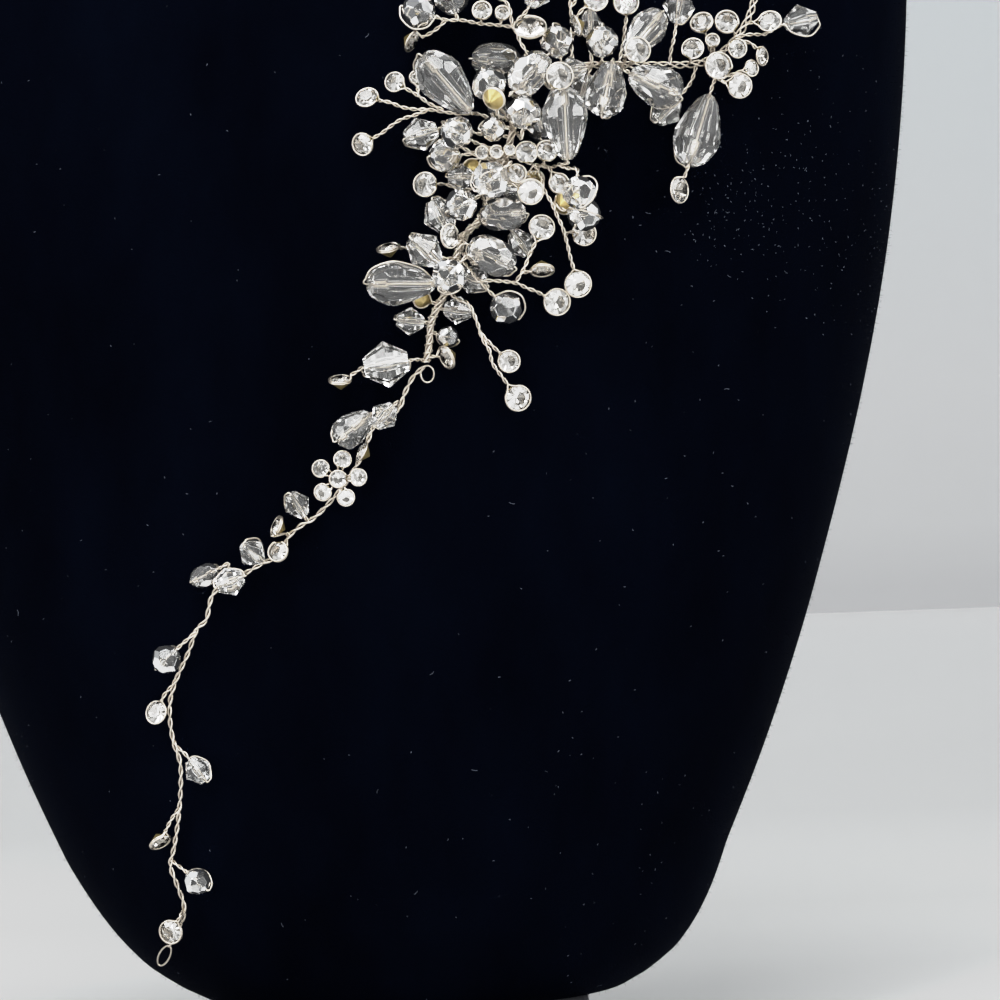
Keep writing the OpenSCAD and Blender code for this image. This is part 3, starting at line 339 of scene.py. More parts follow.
def on_bust(point):
    """An [across, up, off the velvet] point of the vine, in millimetres in the shared frame."""
    dx, dz = point[0] - READ_MIDDLE[0], point[1] - READ_MIDDLE[1]
    across = dx * math.cos(VINE_LEAN) + dz * math.sin(VINE_LEAN)
    up = dz * math.cos(VINE_LEAN) - dx * math.sin(VINE_LEAN)
    mid_x, mid_z = VINE_SIDE + READ_MIDDLE[0], VINE_UP + READ_MIDDLE[1]
    deep = chest_y(mid_x + across, mid_z + up) - point[2] + READ_PLANE
    spread = 1 + (deep - up * math.sin(VIEW_DOWN)) / VIEW_DISTANCE
    x = mid_x + across * spread
    z = mid_z + (up * spread - deep * math.sin(VIEW_DOWN)) / math.cos(VIEW_DOWN)
    return np.array([x, chest_y(x, z) - point[2], FOOT_HIGH + z])


knot = on_bust(TAIL_STEM[0])
print("the knot lies at", knot.round(1), "mm")

# %% [markdown]
# ## Writing node trees
# Materials and Geometry Nodes are both trees of nodes. Adding each node and each link by hand makes
# long lists that hide what is worked out. Two small classes keep it short. `Port` is an output that
# can stand in a sum, so `1 - mask * 0.5` adds its own Math nodes. `Board.add` makes any other node
# from its type, its settings and what its sockets get.

# %% Ports and boards
class Port:
    """A node's output, which can be used in sums."""

    def __init__(self, board, socket):
        self.board = board
        self.socket = socket

    def maths(self, operation, *terms):
        return self.board.add("ShaderNodeMath", {"operation": operation}, *terms)["Value"]

    def __add__(self, other):
        return self.maths("ADD", self, other)

    def __mul__(self, other):
        return self.maths("MULTIPLY", self, other)

    def __sub__(self, other):
        return self.maths("SUBTRACT", self, other)

    def __rsub__(self, other):
        return self.maths("SUBTRACT", other, self)

    def __truediv__(self, other):
        return self.maths("DIVIDE", self, other)

    def __rtruediv__(self, other):
        return self.maths("DIVIDE", other, self)

    __radd__ = __add__
    __rmul__ = __mul__


class Board:
    """A node tree that is filled from Python."""

    def __init__(self, tree):
        self.tree = tree
        tree.nodes.clear()

    @staticmethod
    def shown(sockets, name):
        """The socket of that name which the node's settings leave in use."""
        return next(s for s in sockets if s.name == name and s.enabled)

    def add(self, kind, settings=None, *given, **named):
        """Any node: its settings, then its sockets by place, or by name with _ for a space."""
        node = self.tree.nodes.new(kind)
        for key, value in (settings or {}).items():
            if key == "stops":
                ramp = node.color_ramp.elements
                while len(ramp) < len(value):
                    ramp.new(0.5)
                for stop, (position, colour) in zip(ramp, value):
                    stop.position = position
                    stop.color = colour
            else:
                setattr(node, key, value)
        sockets = [(node.inputs[i], v) for i, v in enumerate(given)]
        sockets += [(self.shown(node.inputs, key.replace("_", " ")), v)
                    for key, v in named.items()]
        for socket, value in sockets:
            if isinstance(value, Port):
                self.tree.links.new(value.socket, socket)
            else:
                socket.default_value = value
        return Outputs(self, node)

    def mix(self, share, first, second):
        """One colour turning into another."""
        return self.add("ShaderNodeMix", {"data_type": "RGBA"}, Factor=share, A=first, B=second)[
            "Result"]

    def ramp(self, value, *stops):
        """A colour that follows a value from stop to stop."""
        return self.add("ShaderNodeValToRGB", {"stops": stops}, value)["Color"]

    def bump(self, height, strength, distance):
        """A normal that follows a height."""
        return self.add("ShaderNodeBump", None, Strength=strength, Distance=distance,
                        Height=height)["Normal"]

    def principled(self, **sockets):
        """The Principled shader."""
        return self.add("ShaderNodeBsdfPrincipled", None, **sockets)["BSDF"]

    def vector(self, operation, *terms, **named):
        """Maths on vectors."""
        return self.add("ShaderNodeVectorMath", {"operation": operation}, *terms, **named)["Vector"]

    def attribute(self, name, kind):
        """What a mesh keeps under a name."""
        return self.add("GeometryNodeInputNamedAttribute", {"data_type": kind}, Name=name)[
            "Attribute"]

    def random(self, low, high, seed):
        """A number between two others, another one for each point."""
        return self.add("FunctionNodeRandomValue", {"data_type": "FLOAT"}, Min=low, Max=high,
                        Seed=seed)["Value"]

    def shape_of(self, thing):
        """The shape of an object, ready to be set in many places."""
        return self.add("GeometryNodeObjectInfo", {"transform_space": "ORIGINAL"}, Object=thing,
                        As_Instance=True)["Geometry"]

    def end(self, geometry, finish):
        """Ends a tree with real geometry in one material."""
        solid = self.add("GeometryNodeRealizeInstances", None, geometry)["Geometry"]
        self.add("NodeGroupOutput", None, self.add(
            "GeometryNodeSetMaterial", None, Geometry=solid, Material=finish)["Geometry"])

    def noise(self, scale, detail=2.0, where=None, rough=0.5):
        """Cloudy noise on the piece's own coordinates, with spots about 1 / scale metres wide."""
        where = where or self.add("ShaderNodeTexCoord")["Object"]
        return self.add("ShaderNodeTexNoise", None, Vector=where, Scale=scale, Detail=detail,
                        Roughness=rough)[0]


class Outputs:
    """A node's outputs, by name or by place."""

    def __init__(self, board, node):
        self.board = board
        self.node = node

    def __getitem__(self, key):
        found = self.node.outputs[key] if isinstance(key, int) else Board.shown(
            self.node.outputs, key)
        return Port(self.board, found)


def material(name, surface):
    """A material whose surface is worked out by the given function on a fresh board."""
    made = bpy.data.materials.new(name)
    made.use_nodes = True
    board = Board(made.node_tree)
    board.add("ShaderNodeOutputMaterial", None, surface(board))
    return made


def grey(value, blue=0.0):
    """A grey, made cooler by a little blue."""
    return (value * (1 - blue), value, value * (1 + blue), 1)


print("node helpers ready")

# %% [markdown]
# ## Velvet
# Velvet is a cloth with a short upright pile. Seen end on, the fibres swallow light and look black.
# Seen from the side they catch a thin sheen. The sheen lobe of the Principled shader gives just
# that. Fine noise in the bump stands for the pile, and slow noise in the colour for the way a hand
# has brushed it.

# %% Velvet materials
def velvet_surface(board):
    where = board.add("ShaderNodeTexCoord")["Object"]
    drawn = board.add("ShaderNodeMapping", None, Vector=where, Scale=(1, 1, 0.45))["Vector"]
    brushed = board.noise(42, 4, drawn, 0.62)
    pile = board.noise(2400, 3, where, 0.7)
    tone = board.ramp(brushed, (0.32, (0.0002, 0.0004, 0.0015, 1)),
                      (0.72, (0.0006, 0.0012, 0.0036, 1)))
    return board.principled(
        Base_Color=board.mix(pile * 0.5, tone, (0.0003, 0.0004, 0.0011, 1)),
        Roughness=0.92 - brushed * 0.1, Specular_IOR_Level=0.006, Sheen_Weight=0.005,
        Sheen_Roughness=0.3, Sheen_Tint=(0.45, 0.6, 1, 1), Normal=board.bump(pile, 0.6, 0.0004))


def pile_surface(board):
    return board.principled(Roughness=0.85, Specular_IOR_Level=0.02, Base_Color=board.mix(
        board.noise(700, 2), (0.0003, 0.0005, 0.0016, 1), (0.0012, 0.0019, 0.0044, 1)))


def lint_surface(board):
    return board.principled(Roughness=0.8, Base_Color=board.mix(
        board.noise(350, 2), (0.003, 0.006, 0.014, 1), (0.085, 0.10, 0.135, 1)))


VELVET = material("black_velvet", velvet_surface)
PILE = material("velvet_pile", pile_surface)
LINT = material("lint", lint_surface)
print("velvet, pile and lint are ready")

# %% [markdown]
# ## Glass, foil and wire
# The beads are clear glass. The shader's transmission does the work, and the facets do the rest:
# each flat face bends the room to another place. A trace of roughness and a very faint wave keep
# the faces from looking like a sum.
#
# Each stone sits on a thin foil, silver towards the stone so that light comes back out of it, and
# lacquered dull gold behind. The wire is silver plated and slightly warm, with small changes of
# tone where it was handled.

# %% Glass, foil and wire materials
GLASS_IOR = 1.57


def glass_surface(board):
    return board.principled(
        Base_Color=(0.985, 0.977, 0.957, 1), Roughness=0.02 + board.noise(520, 3) * 0.05,
        IOR=GLASS_IOR, Transmission_Weight=0.975,
        Normal=board.bump(board.noise(210, 1), 0.05, 0.0002))


def stone_surface(board):
    return board.principled(
        Base_Color=(0.935, 0.91, 0.87, 1), Roughness=0.01 + board.noise(900, 2) * 0.05,
        IOR=GLASS_IOR, Transmission_Weight=1.0)


def foil_surface(board):
    pits = board.noise(1500, 2)
    return board.principled(
        Metallic=1.0, Roughness=0.06 + pits * 0.1,
        Base_Color=board.mix(pits, (0.50, 0.49, 0.47, 1), (0.24, 0.235, 0.23, 1)))


def lacquer_surface(board):
    cloud = board.noise(600, 3)
    return board.principled(
        Metallic=0.85, Roughness=0.24 + cloud * 0.25,
        Normal=board.bump(board.noise(4200, 2), 0.25, 0.0001),
        Base_Color=board.mix(cloud, (0.30, 0.22, 0.07, 1), (0.52, 0.42, 0.20, 1)))


def wire_surface(board):
    handled = board.noise(260, 3)
    return board.principled(
        Metallic=1.0, Roughness=0.28 + handled * 0.16,
        Normal=board.bump(board.noise(5200, 2), 0.18, 0.00006),
        Base_Color=board.mix(handled, (0.485, 0.425, 0.352, 1), (0.79, 0.72, 0.63, 1)))


GLASS = material("cut_glass", glass_surface)
CRYSTAL = material("stone_glass", stone_surface)
SILVER = material("silver_foil", foil_surface)
GOLD = material("gold_lacquer", lacquer_surface)
WIRE = material("silver_wire", wire_surface)
print("glass, foil and wire are ready")

# %% [markdown]
# ## Boards, table and wall
# The foot is dark painted board, so it has a fine grain and soft worn tones. The table and the wall
# are the studio, not the jewel. They are pale, with a faint cloud in them so that they don't look
# like a flat fill. Their tones also carry painted light and shade: the table is painted lighter far
# back and next to the bust, where less lamp light reaches it or the bust's shadow falls, and the
# wall is painted darker towards the table.

# %% Foot, table and wall materials
def foot_surface(board):
    cloud = board.noise(90, 3)
    return board.principled(
        Roughness=0.52 + cloud * 0.2, Normal=board.bump(board.noise(1800, 3), 0.3, 0.0002),
        Base_Color=board.mix(cloud, (0.012, 0.013, 0.016, 1), (0.034, 0.035, 0.04, 1)))


def painted_light_studio_surface(axis, reach, *stops):
    """A matt surface with painted light and shade: its tone changes along one axis, over a reach in
    metres.
    """
    def surface(board):
        where = board.add("ShaderNodeTexCoord")["Object"]
        along = board.add("ShaderNodeSeparateXYZ", None, where)[axis] / reach
        # The ramp along the axis is painted light and shade. The noise is a faint cloud of tone.
        painted_light_tone = board.mix(board.noise(1.6, 2) * 0.06, board.ramp(along, *stops),
                          (0.4, 0.41, 0.42, 1))
        return board.principled(Roughness=0.75, Specular_IOR_Level=0.2, Base_Color=painted_light_tone)
    return surface


FOOT = material("foot_board", foot_surface)
# Painted light: the table is lighter right next to the bust and far back, to cancel the bust's
# shadow and the lamps' falloff, and darker between.
TABLE_WITH_PAINTED_LIGHT = material("table", painted_light_studio_surface(
    "Y", 1.3, (0.08, (0.57, 0.57, 0.565, 1)), (0.14, (0.485, 0.485, 0.48, 1)),
    (0.28, (0.447, 0.447, 0.444, 1)), (1.0, (0.70, 0.695, 0.69, 1))))
# Painted shade: the wall is darker towards the table and lighter higher up.
WALL_WITH_PAINTED_SHADE = material("wall", painted_light_studio_surface(
    "Z", 0.33, (0.04, (0.423, 0.424, 0.430, 1)), (0.14, (0.465, 0.468, 0.472, 1)),
    (0.36, (0.486, 0.489, 0.494, 1)), (1.0, (0.492, 0.516, 0.528, 1))))
print("foot, table and wall are ready")

# %% [markdown]
# ## From points to pieces
# Every piece is a mesh whose points are already where they belong, with its object left at the
# origin. `mesh_of` makes one from millimetre points. `loft` joins rings of points into a closed
# skin, which suits the bust, the foot, the fibres and the foils: each is a row of outlines one
# after the other.

# %% Mesh helpers
def mesh_of(name, points, faces, edges=(), finish=None, smooth=False):
    """A mesh from points in millimetres."""
    mesh = bpy.data.meshes.new(name)
    mesh.from_pydata((np.asarray(points, dtype=float) * MM).tolist(), list(edges), list(faces))
    if finish:
        mesh.materials.append(finish)
    if smooth:
        mesh.polygons.foreach_set("use_smooth", [True] * len(mesh.polygons))
    return mesh


def round_angles(count):
    """Equal steps once round."""
    return np.linspace(0, 2 * math.pi, count, endpoint=False)


def loft(rings):
    """Faces between rings of equally many points, with the first and the last ring closed."""
    count = len(rings[0])
    faces = []
    for start in range(0, count * (len(rings) - 1), count):
        for k in range(count):
            n = (k + 1) % count
            faces.append((start + k, start + n, start + count + n, start + count + k))
    last = count * (len(rings) - 1)
    faces += [list(range(count))[::-1], list(range(last, last + count))]
    return np.concatenate(rings), faces


def add_piece(name, mesh, slot, *nodes):
    """Puts a finished mesh in the scene, standing for its nodes."""
    piece = new_object(name, mesh)
    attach(piece, "root")
    if nodes:
        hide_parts(*nodes)
    print(name, "has", sum(len(p.vertices) - 2 for p in mesh.polygons), "triangles")
    return piece


# %% [markdown]
# ## The bust
# The bust is a stiff board under thin padding and velvet, so its skin is smooth and drawn tight,
# with only shallow swells where the padding is uneven. A cloth simulation would not show on
# something so tight. Rings of the plan outline at many heights give the same shape as the solid,
# far smoother. A slow noise moves each point by a fraction of a millimetre.

# %% Bust
BUST_RINGS = 150
BUST_SIDES = 208
SWELL, SWELL_REACH = 0.35, 60.0
SWELL_CLIMB, SWELL_HOLD = 9, 12
SWELL_WAVES = [
    # strength, waves round the bust, turn with height
    (0.5, 3, 1), (0.3, 5, -1.7), (0.2, 8, 2.9)]
LOW_DRIFT, LOW_DRIFT_SHARE = 2.4, 0.09
CAP_SHARES = (0.985, 0.9, 0.6, 0.3)
CAP_RISE = 0.5
bust_turns = round_angles(BUST_SIDES)


def plan_ring(share):
    """The bust's plan outline at a share of the height."""
    wide, front, back = (level_at(column, share) for column in (WIDE, FRONT, BACK))
    cos, sin = np.cos(bust_turns), np.sin(bust_turns)
    power = 2 / FORM_SQUARE
    deep = np.where(sin > 0, back, front) * FORM_DEEP
    return np.stack([
        FORM_WIDE / 2 * wide * np.sign(cos) * np.abs(cos) ** power,
        deep * np.sign(sin) * np.abs(sin) ** power,
        np.full(BUST_SIDES, FOOT_HIGH + share * FORM_HIGH)], axis=1)


def swell_at(share):
    """How far the padding swells round one level, from 0 to 1."""
    climb = SWELL_CLIMB * share
    waves = sum(strength * np.sin(count * bust_turns + turn * climb)
                for strength, count, turn in SWELL_WAVES)
    return min(1, SWELL_HOLD * share, SWELL_HOLD * (1 - share)) * (0.5 + 0.5 * waves)


shares = np.unique(np.concatenate([np.linspace(0, 1, BUST_RINGS), levels[:, HEIGHT]]))
rings = [plan_ring(share) for share in shares]
for share, ring in zip(shares, rings):
    ring[:, 0] += LOW_DRIFT * max(0, 1 - share / LOW_DRIFT_SHARE)
    ring[:, :2] *= (1 - SWELL * swell_at(share) / SWELL_REACH)[:, None]
low = [rings[0] * np.array([s, s, 1]) for s in CAP_SHARES[::-1]]
high = [rings[-1] * np.array([s, s, 1]) + np.array([0, 0, CAP_RISE * (1 - s)])
        for s in CAP_SHARES]
bust_mesh = mesh_of("velvet_bust", *loft(low + rings + high), finish=VELVET, smooth=True)
bust = add_piece("velvet_bust", bust_mesh, "velvet", "bust_form")

# %% [markdown]
# ## The foot
# Under the bust is a dark block. A plain box would have edges like knives, so its outline is a
# rectangle with round corners, drawn in a little at the bottom and top edge for a small bevel.

# %% Foot
FOOT_WIDE, FOOT_DEEP, FOOT_CORNER, FOOT_BEVEL = 66.0, 76.0, 6.0, 0.9
SOFT_SHARE = 0.3
CORNER_POINTS = 9


def foot_ring(inset, height):
    """The foot's outline at one height, drawn in by inset."""
    ring = []
    for corner, (sx, sy) in enumerate([(1, 1), (-1, 1), (-1, -1), (1, -1)]):
        for k in range(CORNER_POINTS):
            a = (corner + k / (CORNER_POINTS - 1)) * math.pi / 2
            ring.append([
                sx * (FOOT_WIDE / 2 - FOOT_CORNER) + (FOOT_CORNER - inset) * math.cos(a),
                sy * (FOOT_DEEP / 2 - FOOT_CORNER) + (FOOT_CORNER - inset) * math.sin(a), height])
    return np.array(ring)


soft = [(FOOT_BEVEL, 0), (SOFT_SHARE * FOOT_BEVEL, SOFT_SHARE * FOOT_BEVEL), (0, FOOT_BEVEL)]
foot_rings = [foot_ring(i, h) for i, h in soft] + [
    foot_ring(i, FOOT_HIGH - h) for i, h in reversed(soft)]
foot_mesh = mesh_of("foot_board", *loft(foot_rings), finish=FOOT)
add_piece("foot_board", foot_mesh, "foot", "bust_base")

# %% [markdown]
# ## Running a Geometry Nodes tree
# Geometry Nodes suit what repeats: the strands of a wire, the fibres on velvet, the beads of a
# field. A tree is built once with named inputs and used many times with other sizes. `run_tree`
# puts it on a holder object, sets the inputs by their identifiers, takes the evaluated result as a
# plain mesh, and takes the holder away again.

# %% Tree helpers
def new_tree(name, **sockets):
    """A Geometry Nodes tree with named inputs; returns it, its board and its input node."""
    tree = bpy.data.node_groups.new(name, "GeometryNodeTree")
    tree.interface.new_socket("Geometry", in_out="INPUT", socket_type="NodeSocketGeometry")
    tree.interface.new_socket("Geometry", in_out="OUTPUT", socket_type="NodeSocketGeometry")
    for key, kind in sockets.items():
        tree.interface.new_socket(key.replace("_", " "), in_out="INPUT",
                                  socket_type="NodeSocket" + kind)
    board = Board(tree)
    return tree, board, board.add("NodeGroupInput")


def run_tree(tree, name, mesh, **values):
    """The plain mesh that a tree makes from a mesh and named values."""
    holder = new_object(name, mesh)
    modifier = holder.modifiers.new("tree", "NODES")
    modifier.node_group = tree
    identifiers = {s.name: s.identifier for s in tree.interface.items_tree if s.in_out == "INPUT"}
    for key, value in values.items():
        modifier[identifiers[key.replace("_", " ")]] = value
    graph = bpy.context.evaluated_depsgraph_get()
    result = bpy.data.meshes.new_from_object(holder.evaluated_get(graph))
    result.name = name
    result.materials.clear()
    result.materials.append(values["Finish"])
    bpy.data.objects.remove(holder)
    return result


def joined(name, meshes):
    """Several meshes as one, each keeping its own material."""
    whole = bmesh.new()
    finishes = []
    for mesh in meshes:
        done = len(whole.faces)
        whole.from_mesh(mesh)
        whole.faces.ensure_lookup_table()
        if mesh.materials[0] not in finishes:
            finishes.append(mesh.materials[0])
        number = finishes.index(mesh.materials[0])
        for face in whole.faces[done:]:
            face.material_index = number
        bpy.data.meshes.remove(mesh)
    result = bpy.data.meshes.new(name)
    whole.to_mesh(result)
    whole.free()
    for finish in finishes:
        result.materials.append(finish)
    return result


# %% [markdown]
# ## Pile and lint
# A few fibres stand up out of any velvet, and a black one shows every speck of dust. Both are
# scattered over the bust: tiny spikes along the surface's own direction, and short bent threads
# that lie flat. Where the dust gathers is painted into an attribute of the bust's points, because
# that is a matter of where people touched it and not of a rule.

# %% Scattering tree
scatter_tree, board, given = new_tree(
    "scatter fibres", Fibre="Object", Density="Float", Shortest="Float", Longest="Float",
    Tilt="Float", Seed="Int", Finish="Material")
scattered = board.add(
    "GeometryNodeDistributePointsOnFaces", {"distribute_method": "RANDOM"},
    Mesh=given["Geometry"], Density=given["Density"] * board.attribute("dust", "FLOAT"),
    Seed=given["Seed"])
tilt = given["Tilt"]
leaned = board.add("ShaderNodeCombineXYZ", None, board.random(0.0 - tilt, tilt, 11),
                   board.random(0.0 - tilt, tilt, 12), board.random(0.0, 2 * math.pi, 13))
leaned = board.add("FunctionNodeEulerToRotation", None, leaned["Vector"])["Rotation"]
turned = board.add("FunctionNodeRotateRotation", {"rotation_space": "LOCAL"},
                   Rotation=scattered["Rotation"], Rotate_By=leaned)["Rotation"]
placed = board.add("GeometryNodeInstanceOnPoints", None, Points=scattered["Points"],
                   Instance=board.shape_of(given["Fibre"]), Rotation=turned,
                   Scale=board.random(given["Shortest"], given["Longest"], 14))["Instances"]
board.end(placed, given["Finish"])
print("scattering tree has", len(scatter_tree.nodes), "nodes")

# %% Pile and lint on the bust
PILE_PER_M2 = 230000.0
SPECKS_PER_M2, THREADS_PER_M2 = 300000.0, 16000.0
DUST_ALL_OVER = 0.012
FIBRE_CORNERS = (0.5, 2.6, 4.7)
DUST = [
    # middle across, middle up, width, strength
    [62, 151, 7, 1.0],
    [59, 145, 5, 0.6],
    [75, 152, 10, 0.3],
    [83, 143, 8, 0.4],
    [74, 158, 24, 0.1],
    [66, 100, 22, 0.05],
    [30, 34, 20, 0.08],
    [-70, 90, 26, 0.03],
    [-62, 190, 24, 0.05]]


def fibre_object(name, points, faces):
    """A fibre one metre long, which the tree scales down."""
    return new_object(name, mesh_of(name, np.asarray(points) / MM, faces))


def set_dust(mesh, values):
    """Writes the share of fibres at each point of a mesh."""
    layer = mesh.attributes.get("dust") or mesh.attributes.new("dust", "FLOAT", "POINT")
    layer.data.foreach_set("value", np.asarray(values, dtype=np.float32))


spike = fibre_object("spike", [[0.045, 0, -0.1], [-0.022, 0.039, -0.1], [-0.022, -0.039, -0.1],
                               [0.05, 0.02, 1]], [(2, 1, 0), (0, 1, 3), (1, 2, 3), (2, 0, 3)])


def bent_fibre(name, bends, thick):
    """A three-sided fibre through its bends."""
    around = thick * np.array([[0, math.cos(a), math.sin(a)] for a in FIBRE_CORNERS])
    return fibre_object(name, *loft([np.array(bend) + around for bend in bends]))


speck = bent_fibre("speck", [[-0.5, 0, 0.1], [0.05, 0.12, 0.2], [0.5, 0, 0.1]], 0.16)
thread = bent_fibre("thread", [[-0.5, -0.05, 0.12], [-0.1, 0.05, 0.03], [0.5, -0.04, 0.16]], 0.04)

corners = np.empty(len(bust_mesh.vertices) * 3)
bust_mesh.vertices.foreach_get("co", corners)
corners = corners.reshape(-1, 3) / MM
ground = bust_mesh.copy()
set_dust(ground, np.ones(len(corners)))
pile = run_tree(scatter_tree, "velvet_pile", ground, Fibre=spike, Density=PILE_PER_M2,
                Shortest=0.0004, Longest=0.0009, Tilt=0.5, Seed=3, Finish=PILE)
dust = np.full(len(corners), DUST_ALL_OVER)
for mid_x, mid_z, width, strength in DUST:
    away = (corners[:, 0] - mid_x) ** 2 + (corners[:, 2] - mid_z) ** 2
    dust += strength * np.exp(-away / (2 * width**2))
set_dust(ground, dust)
specks = run_tree(scatter_tree, "specks", ground, Fibre=speck, Density=SPECKS_PER_M2,
                  Shortest=0.0001, Longest=0.00036, Tilt=0.3, Seed=5, Finish=LINT)
threads = run_tree(scatter_tree, "threads", ground, Fibre=thread, Density=THREADS_PER_M2,
                   Shortest=0.0003, Longest=0.0011, Tilt=0.2, Seed=7, Finish=LINT)
for tool in (spike, speck, thread):
    bpy.data.objects.remove(tool)
add_piece("velvet_pile", pile, "velvet")
add_piece("lint", joined("lint", [specks, threads]), "velvet")

# %% [markdown]
# ## Cutting the beads
# A cutter makes a bead by grinding flat faces on it, row after row, while it turns on its axis. The
# same is done here: a block is cut by one plane for each face. A row of faces is given by how many
# there are, by how far the row is turned, and by two points of the bead's outline that its faces
# run through. So every face is truly flat, and kites and triangles come by themselves where rows
# meet. A subdivided ball would have no such faces.
#
# The patterns are one unit in radius and run from -1 to 1 along the hole, so one pattern does for
# all sizes of its kind. Every edge gets a hair of a bevel, because it is the edges that glint.

# %% Bead patterns
BLOCK_SIZE = 4
ON_PLANE, SAME_POINT = 1e-5, 0.004
HOLE_SIDES = 10
EDGE_BEVEL = 0.022
HOLE_SHARE = {BICONE: 0.2, ROUND: 0.17, BARREL: 0.17, DROP: 0.14, PEAR: 0.16}


def both_ends(*rows):
    """Each row, and the same row at the bead's other end."""
    return [row for count, turn, (r1, z1), (r2, z2) in rows
            for row in ((count, turn, (r1, z1), (r2, z2)), (count, turn, (r1, -z1), (r2, -z2)))]


PATTERNS = {
    # faces in the row, turn, and two outline points as (radius, height)
    BICONE: both_ends((8, 0.5, (1, 0), (0.45, 1))),
    ROUND: [
        (8, 0, (1, -0.24), (1, 0.24)),
        *both_ends((8, 0.5, (0.97, 0.22), (0.64, 0.8)), (8, 0, (0.76, 0.7), (0.32, 1)))],
    BARREL: [
        (8, 0, (1, -0.36), (1, 0.36)),
        *both_ends((8, 0.5, (0.98, 0.34), (0.76, 0.78)), (8, 0, (0.84, 0.7), (0.4, 1)))],
    DROP: [
        (8, 0.5, (0.22, -1), (0.46, -0.82)),
        (10, 0, (0.34, -1), (0.84, -0.22)),
        (10, 0, (0.8, -0.28), (1, 0.2)),
        (10, 0, (1, 0.18), (0.93, 0.6)),
        (10, 0.5, (0.97, 0.46), (0.64, 0.88)),
        (10, 0, (0.7, 0.84), (0.34, 1))],
    PEAR: [
        (8, 0.5, (0.26, -1), (0.52, -0.84)),
        (8, 0, (0.4, -1), (0.9, -0.2)),
        (8, 0.5, (0.68, -0.58), (1, 0.25)),
        (8, 0, (1, 0.16), (0.97, 0.55)),
        (8, 0.5, (0.98, 0.5), (0.76, 0.84)),
        (8, 0, (0.8, 0.8), (0.4, 1))]}


def row_planes(count, turn, first, second):
    """Direction and distance of each plane of a row of faces."""
    (r1, z1), (r2, z2) = first, second
    out, up = (z2 - z1, r1 - r2) if z2 > z1 else (z1 - z2, r2 - r1)
    length = math.hypot(out, up)
    out, up = out / length, up / length
    distance = r1 * math.cos(math.pi / count) * out + z1 * up
    return [(np.array([out * math.cos(a), out * math.sin(a), up]), distance)
            for a in (2 * math.pi * (k + turn) / count for k in range(count))]


def cut_block(planes):
    """A block with everything outside each plane cut off."""
    block = bmesh.new()
    bmesh.ops.create_cube(block, size=BLOCK_SIZE)
    for direction, distance in planes:
        cut = bmesh.ops.bisect_plane(
            block, geom=block.verts[:] + block.edges[:] + block.faces[:], dist=ON_PLANE,
            plane_co=direction * distance, plane_no=direction, clear_outer=True)
        rim = [e for e in cut["geom_cut"] if isinstance(e, bmesh.types.BMEdge)]
        if len(rim) > 2:
            bmesh.ops.contextual_create(block, geom=rim)
    bmesh.ops.remove_doubles(block, verts=block.verts[:], dist=SAME_POINT)
    bmesh.ops.recalc_face_normals(block, faces=block.faces[:])
    return block


def glint_edges(block):
    """A hair of a bevel on every edge."""
    bmesh.ops.bevel(block, geom=block.edges[:], offset=EDGE_BEVEL, segments=1, profile=0.5,
                    affect="EDGES", clamp_overlap=True)


def drill(block, radius):
    """A hole along the axis, through the two flat ends."""
    circles = []
    for side in (1, -1):
        end = max(block.faces, key=lambda f: side * f.calc_center_median().z)
        outer = end.edges[:]
        height = end.calc_center_median().z
        bmesh.ops.delete(block, geom=[end], context="FACES_ONLY")
        ring = [block.verts.new((radius * math.cos(a), radius * math.sin(a), height))
                for a in round_angles(HOLE_SIDES)]
        circle = [block.edges.new((ring[k], ring[(k + 1) % HOLE_SIDES]))
                  for k in range(HOLE_SIDES)]
        bmesh.ops.bridge_loops(block, edges=outer + circle)
        circles += circle
    bmesh.ops.bridge_loops(block, edges=circles)
    bmesh.ops.recalc_face_normals(block, faces=block.faces[:])


def pattern_object(name, block):
    """Keeps a cut block as an object one metre in radius, which a tree scales down."""
    mesh = bpy.data.meshes.new(name)
    block.to_mesh(mesh)
    block.free()
    return new_object(name, mesh)


bead_names = {BICONE: "bicone", ROUND: "round", BARREL: "barrel", DROP: "drop", PEAR: "pear"}
END_PLANES = [(np.array([0, 0, 1.0]), 1.0), (np.array([0, 0, -1.0]), 1.0)]
pattern = {}
for kind, rows in PATTERNS.items():
    block = cut_block(END_PLANES + [p for row in rows for p in row_planes(*row)])
    widest = max(math.hypot(v.co.x, v.co.y) for v in block.verts)
    bmesh.ops.scale(block, vec=(1 / widest, 1 / widest, 1), verts=block.verts[:])
    faces_cut = len(block.faces)
    glint_edges(block)
    drill(block, HOLE_SHARE[kind])
    print(bead_names[kind], "pattern:", faces_cut, "cut faces,", len(block.faces), "with edges")
    pattern[kind] = pattern_object(bead_names[kind], block)

# %% [markdown]
# ## Cutting the stones
# A stone is a brilliant: a flat table, stars and kites round it, a thin girdle, and a point below.
# It is cut the same way. Behind it sits its foil, two thin cones in one another: silver inside,
# gold lacquer outside. Real foil is a film on the glass. Modelled as a shell with its own thickness
# it still shows gold from behind and silver through the stone.

# %% Stone and foil patterns
STONE_CUT = [
    (8, 0, (1, 0.03), (0.6, 0.35)),
    (8, 0.5, (0.82, 0.2), (0.54, 0.36)),
    (16, 0.5, (1.005, 0.02), (0.82, 0.225)),
    (16, 0.5, (1, -0.1), (1, 0.1)),
    (16, 0.5, (1.005, -0.04), (0.5, -0.5)),
    (8, 0, (1.02, -0.03), (0.0, -0.87))]
TABLE_HEIGHT = 0.32
FOIL_PROFILE = [(1.0, 0.01), (1.0, -0.07), (0.56, -0.47), (0.06, -0.86)]
FOIL_DROP = 0.6
FOIL_TIP, FOIL_TIP_IN, FOIL_TIP_OUT = 0.004, -0.9, -0.91
FOIL_SIDES = 16


